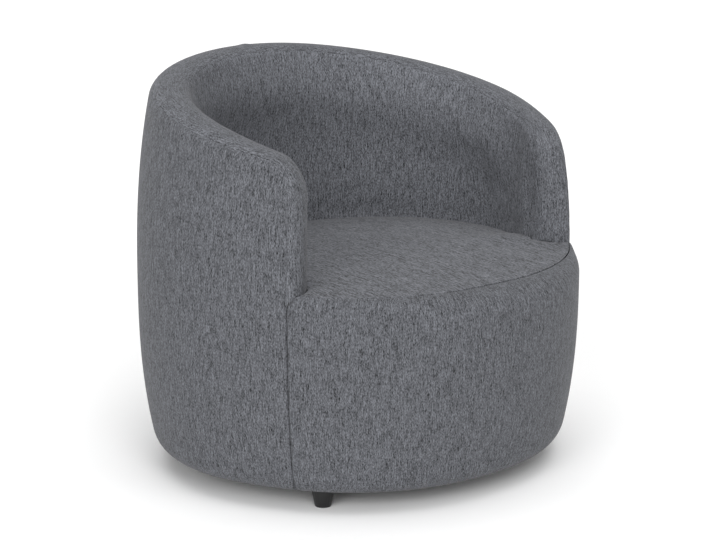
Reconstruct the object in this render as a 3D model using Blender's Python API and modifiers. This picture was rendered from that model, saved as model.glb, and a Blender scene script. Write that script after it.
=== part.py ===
"""Barrel armchair, modelled in metres with +Z up.

The front of the seat faces -Y. Left and right are the sitter's, so left is +X. The chair is mirror
symmetric about X = 0 and stands on Z = 0, with the middle of its footprint at the origin. A wooden frame of ribs and rails carries boards, foam and
cloth; every layer is worked out from one plan outline and one side profile, so a changed size moves
all the layers together.
"""

import math

import bmesh
import bpy
from mathutils import Vector

# Overall form of the finished chair at its widest height. Each fullness is the power of the plan curve:
# 2 is an ellipse, more is squarer. The rim falls from the back to the arms along a cosine that has
# turned by DROP_TURN at the arm ends. The wall leans in by TOP_LEAN at its top, on a curve that
# LEAN_FOLLOW draws down to the lower rim of the arms.
HALF_WIDTH = 0.416
BACK_REACH = 0.367
BACK_FULLNESS = 2.11
SIDE_REACH = 0.454
SIDE_FULLNESS = 1.68
FRONT_REACH = 0.387
FRONT_FULLNESS = 2.10
ARM_END_ANGLE = 123.2
BACK_HEIGHT = 0.738
ARM_DROP = 0.142
DROP_TURN = 1.65
UNDERSIDE_HEIGHT = 0.036
WIDEST_HEIGHT = 0.335
TOP_LEAN = 0.035
LEAN_POWER = 2.5
LEAN_FOLLOW = 0.25
LOWER_TAPER = 0.030
LOWER_EDGE_HEIGHT = 0.036
LOWER_EDGE_INSET = 0.022

# Wall, rim and arm front
WALL_AT_RIM = 0.070
WALL_AT_SEAT = 0.082
RIM_RADIUS = 0.026
SEAM_DEPTH = 0.013
FRONT_SEAM_DEPTH = 0.022
RIM_ROUND_MARGIN = 0.010
ARM_CORNER_RADIUS = 0.060
FRONT_BAND_FOOT = 0.3760
OUTER_FOOT_GAP = 0.0036
INNER_FOOT_GAP = 0.0075
FOOT_LEAD = 0.0025
FOOT_MARGIN = 0.014

# Seat
SEAT_EDGE_HEIGHT = 0.372
SEAT_CROWN = 0.024
SEAT_EDGE_DIP = 0.012
DIP_WIDTH = 0.020
FRONT_ROLL_START = 0.336
EAR_ROLL_START = 0.358
FRONT_SEAM_INSET = 0.058
EAR_SEAM_INSET = 0.010
EAR_BLEND = 35.0
SEAT_MIDDLE = -0.030
SEAT_LEVEL = 0.376
CROWN_HALF_WIDTH = 0.480
CROWN_HALF_DEPTH = 0.420
CROWN_MIDDLE = 0.030

# Layers
CLOTH = 0.0015
CLEARANCE = 0.0003
OUTER_FOAM = 0.010
BOARD = 0.003
RIM_PAD_DEPTH = 0.0300
ARM_PAD_DEPTH = 0.0235
RAIL_END_DEPTH = 0.0380
POST_EASE = 0.0006
POST_SETBACK = 0.0030
RIB_DEPTH = 0.030
PLYWOOD = 0.018
BASE_THICKNESS = 0.015
DUST_COVER = 0.001
HEM_INSET = 0.072
HEM_TUCK = 0.010
DUST_COVER_INSET = 0.067
BASE_EDGE_INSET = 0.0635
LOWER_ROLL_HEIGHT = 0.024
BOARD_LIFT = 0.002
RIB_FOOT_DEPTH = 0.124
SEAT_RAIL_HEIGHT = 0.285
SEAT_RAIL_INNER = 0.124
RAIL_JOINT_ANGLE = 48.0
FRONT_POST_ANGLES = {"front_post_left": 146.0, "front_post_middle": 180.0, "front_post_right": 214.0}

# Seat springs
SPRING_COUNT = 5
SPRING_SPACING = 0.090
SPRING_WIRE = 0.0038
SPRING_HALF_WIDTH = 0.025
SPRING_PITCH = 0.046
SPRING_BEND = 0.010
SPRING_RISE = 0.010
DECK_HALF_WIDTH = 0.300
DECK_HALF_DEPTH = 0.290
DECK_MIDDLE = -0.010
CLIP_FROM_EDGE = 0.012
CLIP_STRAP = 0.001
CLIP_WIDTH = 0.016
CLIP_TAIL = 0.012
CLIP_BEND = 0.0005
TIE_WIRE = 0.0024
TIE_BEND = 0.030
INSULATOR = 0.003

# Feet
FOOT_FRONT_ANGLE = 126.1
FOOT_REAR_ANGLE = 48.6
FOOT_FRONT_INSET = 0.0835
FOOT_REAR_INSET = 0.101
FOOT_TOP_RADIUS = 0.021
FOOT_BOTTOM_RADIUS = 0.0145
BOLT_RADIUS = 0.004
BOLT_IN_FOOT = 0.022
BOLT_ABOVE_BASE = 0.006
TEE_FLANGE_RADIUS = 0.0095
TEE_FLANGE = 0.0015
TEE_BARREL_RADIUS = 0.0055
TEE_BARREL = 0.009

# Fineness of the facets; an odd number of wall facets leaves a flat one behind the back rib
WALL_FACETS = 19
RIB_EVERY = 3
FRONT_FACETS = 12
CORNER_STEPS = 3
ROUND_SIDES = 20
# Rows closer than this in height, and columns closer than this in angle, are left out as slivers
ROW_STEP = 0.003
COLUMN_STEP = 0.020
# How far the facets of the seat front run on behind the arm ends, as an angle
FRONT_OVERRUN = 0.050
EDGE_BREAK = 0.001

BASE_BOTTOM = UNDERSIDE_HEIGHT + DUST_COVER + CLOTH + 2 * CLEARANCE
BASE_TOP = BASE_BOTTOM + BASE_THICKNESS
FOOT_FOAM_TOP = BASE_TOP + LOWER_ROLL_HEIGHT
BOARD_FOOT = FOOT_FOAM_TOP + BOARD_LIFT

# Heights where the side profile bends up to the seat, and shares of the wall's height above it
LOW_HEIGHTS = [UNDERSIDE_HEIGHT, BASE_TOP] + [
    FOOT_FOAM_TOP + (SEAT_LEVEL - FOOT_FOAM_TOP) * share for share in (0.0, 0.28, 0.62, 1.0)
]
HIGH_SHARES = (0.42, 0.80)
SEAT_RAIL_TOP = SEAT_RAIL_HEIGHT + CLEARANCE + PLYWOOD
FOAM_FACE = CLOTH + CLEARANCE
FOAM_BACK = FOAM_FACE + OUTER_FOAM
BOARD_FACE = FOAM_BACK + CLEARANCE
BOARD_BACK = BOARD_FACE + BOARD
RIB_FACE = BOARD_BACK + CLEARANCE
RIB_BACK = RIB_FACE + RIB_DEPTH
INNER_BOARD_FACE = RIB_BACK + CLEARANCE
INNER_BOARD_BACK = INNER_BOARD_FACE + BOARD
INNER_FOAM_FACE = INNER_BOARD_BACK + CLEARANCE
CORE_TOP = RIM_PAD_DEPTH + CLEARANCE
CORE_FRONT = ARM_PAD_DEPTH + CLEARANCE
CLIP_TOP = SEAT_RAIL_TOP + 3 * CLEARANCE + 2 * CLIP_STRAP + SPRING_WIRE
DECK_EDGE = CLIP_TOP + CLEARANCE


# Plan and side profile

def fullness_radius(angle, half_width, reach, fullness):
    """Polar radius of a rounded outline; a fullness of 2 is an ellipse."""
    across = abs(math.sin(angle)) / half_width
    along = abs(math.cos(angle)) / reach
    return (across ** fullness + along ** fullness) ** (-1.0 / fullness)


def wall_outline(angle):
    """Plan radius of the finished wall at its widest, with the angle measured from the back."""
    if math.cos(angle) > 0.0:
        return fullness_radius(angle, HALF_WIDTH, BACK_REACH, BACK_FULLNESS)
    return fullness_radius(angle, HALF_WIDTH, SIDE_REACH, SIDE_FULLNESS)


ARM_END = math.radians(ARM_END_ANGLE)
ARM_RADIUS = wall_outline(ARM_END)
CORNER_START = ARM_END - ARM_CORNER_RADIUS / ARM_RADIUS
SEAM_ANGLE = ARM_END - FRONT_SEAM_DEPTH / ARM_RADIUS
EAR_ANGLE = SEAM_ANGLE + 2 * CLEARANCE / ARM_RADIUS


def front_half_width():
    """Half width that makes the seat front meet the wall at the arm end."""
    across = ARM_RADIUS ** -FRONT_FULLNESS - (abs(math.cos(ARM_END)) / FRONT_REACH) ** FRONT_FULLNESS
    return abs(math.sin(ARM_END)) / across ** (1.0 / FRONT_FULLNESS)


def front_outline(angle):
    """Plan radius of the finished seat front at its widest."""
    return fullness_radius(angle, front_half_width(), FRONT_REACH, FRONT_FULLNESS)


def spread(start, end, count):
    """Count + 1 evenly spaced values."""
    return [start + (end - start) * i / count for i in range(count + 1)]


WALL_ANGLES = [-ARM_END] + spread(-CORNER_START, CORNER_START, WALL_FACETS) + [ARM_END]
FRONT_START = SEAM_ANGLE - FRONT_OVERRUN
FRONT_ANGLES = spread(FRONT_START, 2 * math.pi - FRONT_START, FRONT_FACETS)


def facet_radius(angle, inset, corners, outline):
    """Radius where a ray meets the plan polygon whose corners lie inset from the outline."""
    low = 0
    while low < len(corners) - 2 and angle > corners[low + 1]:
        low += 1
    first, second = corners[low], corners[low + 1]
    r1 = outline(first) - inset
    r2 = outline(second) - inset
    turn = math.sin(second - first)
    return r1 * r2 * turn / (r1 * math.sin(angle - first) + r2 * math.sin(second - angle))


def wall_radius(angle, inset):
    return facet_radius(angle, inset, WALL_ANGLES, wall_outline)


def front_radius(angle, inset):
    return facet_radius(angle % (2 * math.pi), inset, FRONT_ANGLES, front_outline)


def at(angle, radius, height):
    """World point at a plan angle from the back, a radius and a height."""
    return Vector((radius * math.sin(angle), radius * math.cos(angle), height))


def between(value, knots, results):
    """Straight-line interpolation, held at both ends."""
    if value <= knots[0]:
        return results[0]
    for k in range(len(knots) - 1):
        if value <= knots[k + 1]:
            share = (value - knots[k]) / (knots[k + 1] - knots[k])
            return results[k] + share * (results[k + 1] - results[k])
    return results[-1]


def rim_curve(angle):
    """Finished rim height; it falls from the back to the arm fronts."""
    share = min(abs(angle) / ARM_END, 1.0) * DROP_TURN
    return BACK_HEIGHT - ARM_DROP * (1.0 - math.cos(share)) / (1.0 - math.cos(DROP_TURN))


RIM_HEIGHTS = [rim_curve(angle) for angle in WALL_ANGLES]


def rim_height(angle):
    return between(angle, WALL_ANGLES, RIM_HEIGHTS)


def profile_inset(height, angle=0.0):
    """How far the finished face lies inside the widest outline at a height."""
    if height > WIDEST_HEIGHT:
        top = rim_height(angle) + LEAN_FOLLOW * (BACK_HEIGHT - rim_height(angle))
        return TOP_LEAN * ((height - WIDEST_HEIGHT) / (top - WIDEST_HEIGHT)) ** LEAN_POWER
    share = (WIDEST_HEIGHT - height) / (WIDEST_HEIGHT - UNDERSIDE_HEIGHT)
    taper = LOWER_TAPER * share ** 2
    dip = max(0.0, UNDERSIDE_HEIGHT + LOWER_EDGE_HEIGHT - height) / LOWER_EDGE_HEIGHT
    dip = min(dip, 1.0)
    return taper + LOWER_EDGE_INSET * (1.0 - math.sqrt(1.0 - dip ** 2))


LOW_INSETS = [profile_inset(height) for height in LOW_HEIGHTS]


def free_edge_height(angle):
    """Finished height of the wall's free edge, with the rounded corner over the arm front."""
    along = min(max(0.0, abs(angle) - CORNER_START) * ARM_RADIUS, ARM_CORNER_RADIUS)
    return rim_height(angle) - ARM_CORNER_RADIUS + math.sqrt(ARM_CORNER_RADIUS ** 2 - along ** 2)


def high_heights(angle):
    """Heights above the seat where the side profile bends, below the rim's rounding."""
    tall = free_edge_height(angle) - RIM_RADIUS - RIM_ROUND_MARGIN - SEAT_LEVEL
    return [SEAT_LEVEL + share * tall for share in HIGH_SHARES]


def barrel_inset(angle, height):
    """The side profile, straight between the shared heights so that nested layers stay parallel."""
    if height <= SEAT_LEVEL:
        return between(height, LOW_HEIGHTS, LOW_INSETS)
    knots = [SEAT_LEVEL] + high_heights(angle) + [free_edge_height(angle)]
    return between(height, knots, [profile_inset(knot, angle) for knot in knots])


def wall_thickness(angle, height):
    """Wall from outer to inner finished face, thinner at the rim."""
    share = (height - SEAT_LEVEL) / (rim_height(angle) - SEAT_LEVEL)
    share = max(0.0, min(share, 1.0))
    return WALL_AT_SEAT + share * (WALL_AT_RIM - WALL_AT_SEAT)


def edge_depth(angle, height):
    """Distance from a point of the wall to its free edge along the rim and the arm front."""
    along = (abs(angle) - CORNER_START) * ARM_RADIUS
    down = rim_height(angle) - height
    if along <= 0.0:
        return down
    if down >= ARM_CORNER_RADIUS:
        return ARM_CORNER_RADIUS - along
    return ARM_CORNER_RADIUS - math.hypot(along, ARM_CORNER_RADIUS - down)


def edge_round(depth):
    """How far the rounded edge has drawn in at a depth below the free edge."""
    if depth >= RIM_RADIUS:
        return 0.0
    rise = RIM_RADIUS - max(depth, 0.0)
    return RIM_RADIUS - math.sqrt(RIM_RADIUS ** 2 - rise ** 2)


def seam_depth(turn):
    """Depth of the band's seam below the free edge, from the rim (0) round to the arm front."""
    return SEAM_DEPTH + (FRONT_SEAM_DEPTH - SEAM_DEPTH) * math.sin(turn) ** 2


def edge_spot(along, up):
    """Angle and height of a spot in the arm corner, from the centre of the corner's rounding."""
    angle = CORNER_START + along / ARM_RADIUS
    return angle, rim_height(angle) - ARM_CORNER_RADIUS + up


# Mesh helpers

def clear_scene():
    for thing in list(bpy.data.objects):
        bpy.data.objects.remove(thing, do_unlink=True)
    for group in list(bpy.data.collections):
        bpy.data.collections.remove(group)


def make_material(name, colour, roughness, metallic=0.0):
    material = bpy.data.materials.new(name)
    material.use_nodes = True
    shader = material.node_tree.nodes["Principled BSDF"]
    shader.inputs["Base Color"].default_value = (*colour, 1.0)
    shader.inputs["Roughness"].default_value = roughness
    shader.inputs["Metallic"].default_value = metallic
    material.diffuse_color = (*colour, 1.0)
    return material


def add_object(name, mesh, material, smooth=True):
    """Put a mesh into the chair's collection as one named piece."""
    piece = bpy.data.objects.new(name, mesh)
    bpy.data.collections["cocktail_chair"].objects.link(piece)
    mesh.materials.clear()
    mesh.materials.append(material)
    if smooth:
        mesh.shade_smooth()
        mesh.set_sharp_from_angle(angle=math.radians(35))
    return piece


def mesh_from(name, bm):
    bmesh.ops.recalc_face_normals(bm, faces=bm.faces)
    mesh = bpy.data.meshes.new(name)
    bm.to_mesh(mesh)
    bm.free()
    return mesh


def quad(bm, a, b, c, d):
    """Two triangles across four points, split at their rearmost, highest corner in every layer."""
    def reach(vert):
        return vert.co.z + 1.3 * vert.co.y + 2.1 * vert.co.xy.length
    if max(reach(a), reach(c)) > max(reach(b), reach(d)):
        bm.faces.new((a, b, c))
        bm.faces.new((a, c, d))
    else:
        bm.faces.new((b, c, d))
        bm.faces.new((b, d, a))


def slab(name, material, face, back):
    """Closed layer between two grids of points of the same size."""
    bm = bmesh.new()
    rows, columns = len(face), len(face[0])
    front = [[bm.verts.new(point) for point in row] for row in face]
    rear = [[bm.verts.new(point) for point in row] for row in back]
    for i in range(rows - 1):
        for j in range(columns - 1):
            quad(bm, front[i][j], front[i][j + 1], front[i + 1][j + 1], front[i + 1][j])
            quad(bm, rear[i][j], rear[i + 1][j], rear[i + 1][j + 1], rear[i][j + 1])
    for i in range(rows - 1):
        quad(bm, front[i][0], front[i + 1][0], rear[i + 1][0], rear[i][0])
        quad(bm, front[i][-1], rear[i][-1], rear[i + 1][-1], front[i + 1][-1])
    for j in range(columns - 1):
        quad(bm, front[0][j], rear[0][j], rear[0][j + 1], front[0][j + 1])
        quad(bm, front[-1][j], front[-1][j + 1], rear[-1][j + 1], rear[-1][j])
    return add_object(name, mesh_from(name, bm), material)


def loft(name, material, rings, smooth=True):
    """Closed solid through rings of the same number of points, with flat ends."""
    bm = bmesh.new()
    loops = [[bm.verts.new(point) for point in ring] for ring in rings]
    for lower, upper in zip(loops, loops[1:]):
        for k in range(len(lower)):
            n = (k + 1) % len(lower)
            quad(bm, lower[k], lower[n], upper[n], upper[k])
    ends = [bm.faces.new(loops[0][::-1]), bm.faces.new(loops[-1])]
    bm.normal_update()
    bmesh.ops.triangulate(bm, faces=ends, ngon_method="EAR_CLIP")
    return add_object(name, mesh_from(name, bm), material, smooth)


def turned(name, material, profile, place, sides=ROUND_SIDES):
    """Turned piece: a profile down its outer side, screwed about Z."""
    mesh = bpy.data.meshes.new(name)
    points = [(radius, 0.0, height) for radius, height in profile]
    mesh.from_pydata(points, [(k, k + 1) for k in range(len(points) - 1)], [])
    piece = add_object(name, mesh, material)
    screw = piece.modifiers.new("turn", "SCREW")
    screw.steps = sides
    screw.render_steps = sides
    screw.use_merge_vertices = True
    screw.merge_threshold = 0.0001
    piece.location = place
    return piece


def as_mesh(piece):
    """The evaluated piece as one plain mesh at its place, with curve caps welded."""
    bpy.context.view_layer.update()
    graph = bpy.context.evaluated_depsgraph_get()
    mesh = bpy.data.meshes.new_from_object(piece.evaluated_get(graph))
    mesh.transform(piece.matrix_world)
    bm = bmesh.new()
    bm.from_mesh(mesh)
    bmesh.ops.remove_doubles(bm, verts=bm.verts, dist=0.00001)
    bm.to_mesh(mesh)
    bm.free()
    bpy.data.objects.remove(piece, do_unlink=True)
    return mesh


def plate(name, material, outline, low, high, holes=()):
    """Flat panel cut from an outline, with round holes given as (x, y, radius)."""
    curve = bpy.data.curves.new(name, "CURVE")
    curve.dimensions = "2D"
    curve.fill_mode = "BOTH"
    curve.extrude = (high - low) / 2
    loops = [outline]
    for x, y, radius in holes:
        turns = spread(0.0, 2 * math.pi, 12)[:-1]
        loops.append([(x + radius * math.cos(t), y + radius * math.sin(t)) for t in turns])
    for loop in loops:
        spline = curve.splines.new("POLY")
        spline.points.add(len(loop) - 1)
        for point, (x, y) in zip(spline.points, loop):
            point.co = (x, y, 0.0, 1.0)
        spline.use_cyclic_u = True
    holder = bpy.data.objects.new(name + "_outline", curve)
    bpy.data.collections["cocktail_chair"].objects.link(holder)
    holder.location = (0.0, 0.0, (low + high) / 2)
    return add_object(name, as_mesh(holder), material, smooth=False)


def wire(name, material, points, thickness):
    """Round wire along a list of points."""
    curve = bpy.data.curves.new(name, "CURVE")
    curve.dimensions = "3D"
    curve.bevel_depth = thickness / 2
    curve.bevel_resolution = 0
    curve.use_fill_caps = True
    spline = curve.splines.new("POLY")
    spline.points.add(len(points) - 1)
    for point, co in zip(spline.points, points):
        point.co = (*co, 1.0)
    holder = bpy.data.objects.new(name + "_path", curve)
    bpy.data.collections["cocktail_chair"].objects.link(holder)
    return add_object(name, as_mesh(holder), material)


# Wall layers

def wall_point(angle, height, inset):
    """Point of the wall at an inset from the finished outer face."""
    return at(angle, wall_radius(angle, barrel_inset(angle, height) + inset), height)


def wall_columns():
    """Angle and top height of each column of a panel that ends beside the band's seam."""
    columns = [(angle, rim_height(angle) - SEAM_DEPTH - CLEARANCE) for angle in WALL_ANGLES[1:-1]]
    corner = []
    for step in range(1, CORNER_STEPS + 1):
        turn = math.pi / 2 * step / CORNER_STEPS
        reach = ARM_CORNER_RADIUS - seam_depth(turn) - CLEARANCE
        corner.append(edge_spot(reach * math.sin(turn), reach * math.cos(turn)))
    return [(-angle, top) for angle, top in reversed(corner)] + columns + corner


def core_corner(extra=0.0):
    """Corner of the wooden core behind the rim pad: one spot on the rail and two down the front."""
    end = ARM_CORNER_RADIUS - RAIL_END_DEPTH + extra
    top = ARM_CORNER_RADIUS - CORE_TOP + extra
    face = ARM_CORNER_RADIUS - CORE_FRONT + extra
    return [(end, top), ((end + face) / 2, top / 2), (face, 0.0)]


def core_columns():
    columns = [(angle, rim_height(angle) - CORE_TOP) for angle in WALL_ANGLES[1:-1]]
    corner = [edge_spot(along, up) for along, up in core_corner()]
    return [(-angle, top) for angle, top in reversed(corner)] + columns + corner


def column_heights(angle, top, low, soft_edge):
    """Heights of a column's rows, from its foot to its top."""
    heights = [low] + [h for h in LOW_HEIGHTS if h > low + ROW_STEP] + high_heights(angle)
    if soft_edge:
        heights += [top - (RIM_RADIUS - SEAM_DEPTH), top - (RIM_RADIUS - SEAM_DEPTH) * 0.5]
    return heights + [top]


def wall_layer(name, material, columns, low, face_inset, back_inset, soft_edge):
    """One wrap-around layer of the wall; the insets are functions of angle and height."""
    face, back = [], []
    for angle, top in columns:
        heights = column_heights(angle, top, low, soft_edge)
        face.append([wall_point(angle, h, face_inset(angle, h)) for h in heights])
        back.append([wall_point(angle, h, back_inset(angle, h)) for h in heights])
    return slab(name, material, face, back)


def rounded(offset):
    """Inset function that follows the rounded free edge at an offset below the outer face."""
    return lambda angle, height: offset + edge_round(edge_depth(angle, height))


def rounded_inner(offset):
    """The same measured from the inner face."""
    return lambda angle, height: (
        wall_thickness(angle, height) - offset - edge_round(edge_depth(angle, height))
    )


def foot_filled(inset):
    """Inset that widens below the ribs to fill the rounded lower edge out to the base panel."""
    def result(angle, height):
        if height >= FOOT_FOAM_TOP:
            return inset
        filled = BASE_EDGE_INSET - CLEARANCE - between(height, LOW_HEIGHTS, LOW_INSETS)
        if height <= BASE_TOP + 0.0005:
            return filled
        share = (FOOT_FOAM_TOP - height) / (FOOT_FOAM_TOP - BASE_TOP)
        return inset + (filled - inset) * share
    return result


def outer_cover(material):
    """Cloth of the outside back and arms, turned under the base as a hem."""
    face, back = [], []
    for angle, top in wall_columns():
        heights = column_heights(angle, top, LOW_HEIGHTS[0], True)
        outer = [wall_point(angle, h, rounded(0.0)(angle, h)) for h in heights]
        inner = [wall_point(angle, max(h, LOW_HEIGHTS[0] + CLOTH), rounded(CLOTH)(angle, h)) for h in heights]
        hem_low = UNDERSIDE_HEIGHT + DUST_COVER + CLEARANCE
        tuck = LOW_INSETS[0] + HEM_TUCK
        hem = [at(angle, wall_radius(angle, HEM_INSET), hem_low), at(angle, wall_radius(angle, tuck), hem_low)]
        hem_top = [at(angle, wall_radius(angle, inset), hem_low + CLOTH) for inset in (HEM_INSET, tuck)]
        face.append(hem + outer)
        back.append(hem_top + inner)
    return slab("outer_cover", material, face, back)


def edge_stations():
    """Stations along the free edge: down one arm front, round the rim and down the other."""
    front = [("front", share) for share in (0.0, 0.5)]
    corner = [("corner", step) for step in range(CORNER_STEPS, 0, -1)]
    rim = [("rim", k) for k in range(1, len(WALL_ANGLES) - 1)]
    left = [(kind, value, 1) for kind, value in front + corner]
    right = [(kind, value, -1) for kind, value in reversed(front + corner)]
    return [(kind, value, -side) for kind, value, side in left] + [
        (kind, value, 1) for kind, value in rim
    ] + [(kind, value, -side) for kind, value, side in right]


def edge_place(station, depth, core=None):
    """Angle and height of a spot at a depth below the free edge at a station."""
    kind, value, side = station
    if kind == "rim":
        angle = WALL_ANGLES[value]
        return angle, rim_height(angle) - depth
    reach = ARM_CORNER_RADIUS - depth
    if kind == "corner":
        turn = math.pi / 2 * value / CORNER_STEPS
        spot = (reach * math.sin(turn), reach * math.cos(turn)) if core is None else core[value - 1]
        angle, height = edge_spot(*spot)
        return side * angle, height
    if core is not None:
        reach = core[-1][0]
    angle, top = edge_spot(reach, 0.0)
    return side * angle, FRONT_BAND_FOOT + value * (top - FRONT_BAND_FOOT)


def station_seam(station):
    """Depth of the band's seam at a station."""
    kind, value, _ = station
    if kind == "corner":
        return seam_depth(math.pi / 2 * value / CORNER_STEPS)
    return SEAM_DEPTH if kind == "rim" else FRONT_SEAM_DEPTH


def edge_ring(station, offset, steps, stem):
    """Section across the wall's rounded edge at a station, as world points."""
    radius = RIM_RADIUS - offset
    start = math.asin((RIM_RADIUS - station_seam(station)) / radius)
    turns = spread(start, math.pi / 2, steps)
    ring = []
    for side in (1, -1):
        for turn in turns if side == 1 else reversed(turns):
            depth = RIM_RADIUS - radius * math.sin(turn)
            angle, height = edge_place(station, depth)
            inset = RIM_RADIUS - radius * math.cos(turn)
            if side == -1:
                inset = wall_thickness(angle, height) - inset
            point = wall_point(angle, height, inset)
            if station[:2] == ("front", 0.0):
                gap = OUTER_FOOT_GAP if side == 1 else INNER_FOOT_GAP
                point.z = seat_surface(point.x, point.y) + gap + offset
            ring.append(point)
    return ring if stem is None else ring + stem(station)


def rim_band(material):
    """Cloth band over the rim and down the arm fronts, between its two seams."""
    rings = []
    for station in edge_stations():
        outer = edge_ring(station, 0.0, 3, None)
        inner = edge_ring(station, CLOTH, 3, None)
        rings.append(outer + inner[::-1])
    return loft("rim_band_cover", material, rings)


def pad_stem(station):
    """Foot of the rim pad between the two boards, down to the rail and the arm posts."""
    spots = core_corner(3 * CLEARANCE)
    lip_angle, lip_height = edge_place(station, station_seam(station))
    low_angle, low_height = edge_place(station, RIM_PAD_DEPTH, spots)
    back = INNER_BOARD_BACK - 5 * CLEARANCE
    return [
        wall_point(lip_angle, lip_height, back),
        wall_point(low_angle, low_height, back),
        wall_point(low_angle, low_height, BOARD_FACE),
        wall_point(lip_angle, lip_height, BOARD_FACE),
    ]


def rim_pad(material):
    rings = [edge_ring(station, FOAM_FACE, 3, pad_stem) for station in edge_stations()]
    return loft("rim_pad", material, rings)


# Wooden frame

def upright(name, material, angle, top, radius_at, front=False, ease=0.0):
    """Plywood upright with a curved outer edge, a wide foot and a shoulder for the seat rail."""
    edge = [h for h in LOW_HEIGHTS if FOOT_FOAM_TOP <= h < min(top, SEAT_LEVEL + ROW_STEP)]
    spots = [(BASE_EDGE_INSET, BASE_TOP + CLEARANCE)]
    if front:
        spots += [(barrel_inset(angle, h) + RIB_FACE, h) for h in edge if h < top]
        spots += [(barrel_inset(0.0, top) + RIB_FACE, top), (SEAT_RAIL_INNER, top)]
    else:
        highs = [h for h in high_heights(angle) if h < top - ROW_STEP] + [top]
        spots += [(barrel_inset(angle, h) + RIB_FACE + ease, h) for h in edge + highs]
        backs = [SEAT_RAIL_HEIGHT, SEAT_LEVEL] + highs
        spots += [(barrel_inset(angle, h) + RIB_BACK - ease, h) for h in reversed(backs)]
        spots += [(RIB_FOOT_DEPTH, SEAT_RAIL_HEIGHT)]
    spots += [(RIB_FOOT_DEPTH, BASE_TOP + CLEARANCE)]
    rings = []
    for side in (-1, 1):
        ring = []
        for inset, height in spots:
            turn = 0.0
            for _ in range(4):
                turn = math.asin(PLYWOOD / 2 / radius_at(angle + side * turn, inset))
            ring.append(at(angle + side * turn, radius_at(angle + side * turn, inset), height))
        rings.append(ring)
    return loft(name, material, rings, smooth=False)


def wall_ribs(material):
    """Seven uprights: one at the back, two behind each arm and one at each arm front."""
    shoulder = ARM_RADIUS - RIB_FOOT_DEPTH - LOW_INSETS[3]
    post = SEAM_ANGLE - POST_SETBACK / ARM_RADIUS - math.asin((PLYWOOD / 2 + CLEARANCE) / shoulder)
    step = 2 * CORNER_START / WALL_FACETS
    places = {
        "back_rib": 0.0,
        "rear_rib_left": RIB_EVERY * step,
        "rear_rib_right": -RIB_EVERY * step,
        "side_rib_left": 2 * RIB_EVERY * step,
        "side_rib_right": -2 * RIB_EVERY * step,
        "arm_post_left": post,
        "arm_post_right": -post,
    }
    for name, angle in places.items():
        turn = PLYWOOD / HALF_WIDTH
        tops = [rim_height(angle + side * turn) for side in (-1, 0, 1)]
        top = min(tops) - CORE_TOP - PLYWOOD - CLEARANCE
        upright(name, material, angle, top, wall_radius, ease=POST_EASE if "post" in name else 0.0)


def top_rail(material):
    """Bent plywood rail along the rim, on top of the uprights."""
    end = edge_spot(ARM_CORNER_RADIUS - RAIL_END_DEPTH, 0.0)[0]
    rings = []
    for angle in [-end] + WALL_ANGLES[1:-1] + [end]:
        top = rim_height(angle) - CORE_TOP
        rings.append([
            wall_point(angle, top, RIB_FACE),
            wall_point(angle, top, RIB_BACK),
            wall_point(angle, top - PLYWOOD, RIB_BACK),
            wall_point(angle, top - PLYWOOD, RIB_FACE),
        ])
    return loft("top_rail", material, rings, smooth=False)


def seat_rail(name, material, angles, radius_at, outer_inset):
    """Plywood rail on the shoulders of the uprights."""
    low, high = SEAT_RAIL_HEIGHT + CLEARANCE, SEAT_RAIL_TOP
    outer = barrel_inset(0.0, high) + outer_inset
    rings = []
    for angle in angles:
        rings.append([
            at(angle, radius_at(angle, outer), low),
            at(angle, radius_at(angle, SEAT_RAIL_INNER), low),
            at(angle, radius_at(angle, SEAT_RAIL_INNER), high),
            at(angle, radius_at(angle, outer), high),
        ])
    return loft(name, material, rings, smooth=False)


def seat_frame(material):
    """Back, side and front rails of the seat with the three front uprights."""
    joint = math.radians(RAIL_JOINT_ANGLE)
    gap = CLEARANCE / HALF_WIDTH
    inner = [a for a in WALL_ANGLES if abs(a) < joint - COLUMN_STEP]
    seat_rail("seat_rail_back", material, [-joint] + inner + [joint], wall_radius, INNER_BOARD_FACE)
    side = [a for a in WALL_ANGLES if joint + COLUMN_STEP < a < SEAM_ANGLE - COLUMN_STEP]
    side = [joint + gap] + side + [SEAM_ANGLE - gap]
    seat_rail("seat_rail_left", material, side, wall_radius, INNER_BOARD_FACE)
    right = [-a for a in reversed(side)]
    seat_rail("seat_rail_right", material, right, wall_radius, INNER_BOARD_FACE)
    start = EAR_ANGLE + gap
    front = [a for a in FRONT_ANGLES if start + COLUMN_STEP < a < 2 * math.pi - start - COLUMN_STEP]
    front = [start] + front + [2 * math.pi - start]
    seat_rail("seat_rail_front", material, front, front_radius, BOARD_FACE)
    for name, degrees in FRONT_POST_ANGLES.items():
        upright(name, material, math.radians(degrees), SEAT_RAIL_HEIGHT, front_radius, front=True)


def base_outline(inset):
    """Outline of a flat panel under the chair: the wall's plan at the back, the seat's in front."""
    points = []
    for angle in WALL_ANGLES[1:-1]:
        points.append(at(angle, wall_radius(angle, inset), 0.0).xy[:])
    for angle in FRONT_ANGLES[1:-1]:
        points.append(at(angle, front_radius(angle, inset), 0.0).xy[:])
    return points


def foot_places():
    """Plan places of the four feet, a set distance inside the chair's outline."""
    places = {}
    for end, degrees, outline, inset in (
        ("front", FOOT_FRONT_ANGLE, front_outline, FOOT_FRONT_INSET),
        ("rear", FOOT_REAR_ANGLE, wall_outline, FOOT_REAR_INSET),
    ):
        angle = math.radians(degrees)
        spot = at(angle, outline(angle) - inset, 0.0)
        places[end + "_left"] = (spot.x, spot.y)
        places[end + "_right"] = (-spot.x, spot.y)
    return places


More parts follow.
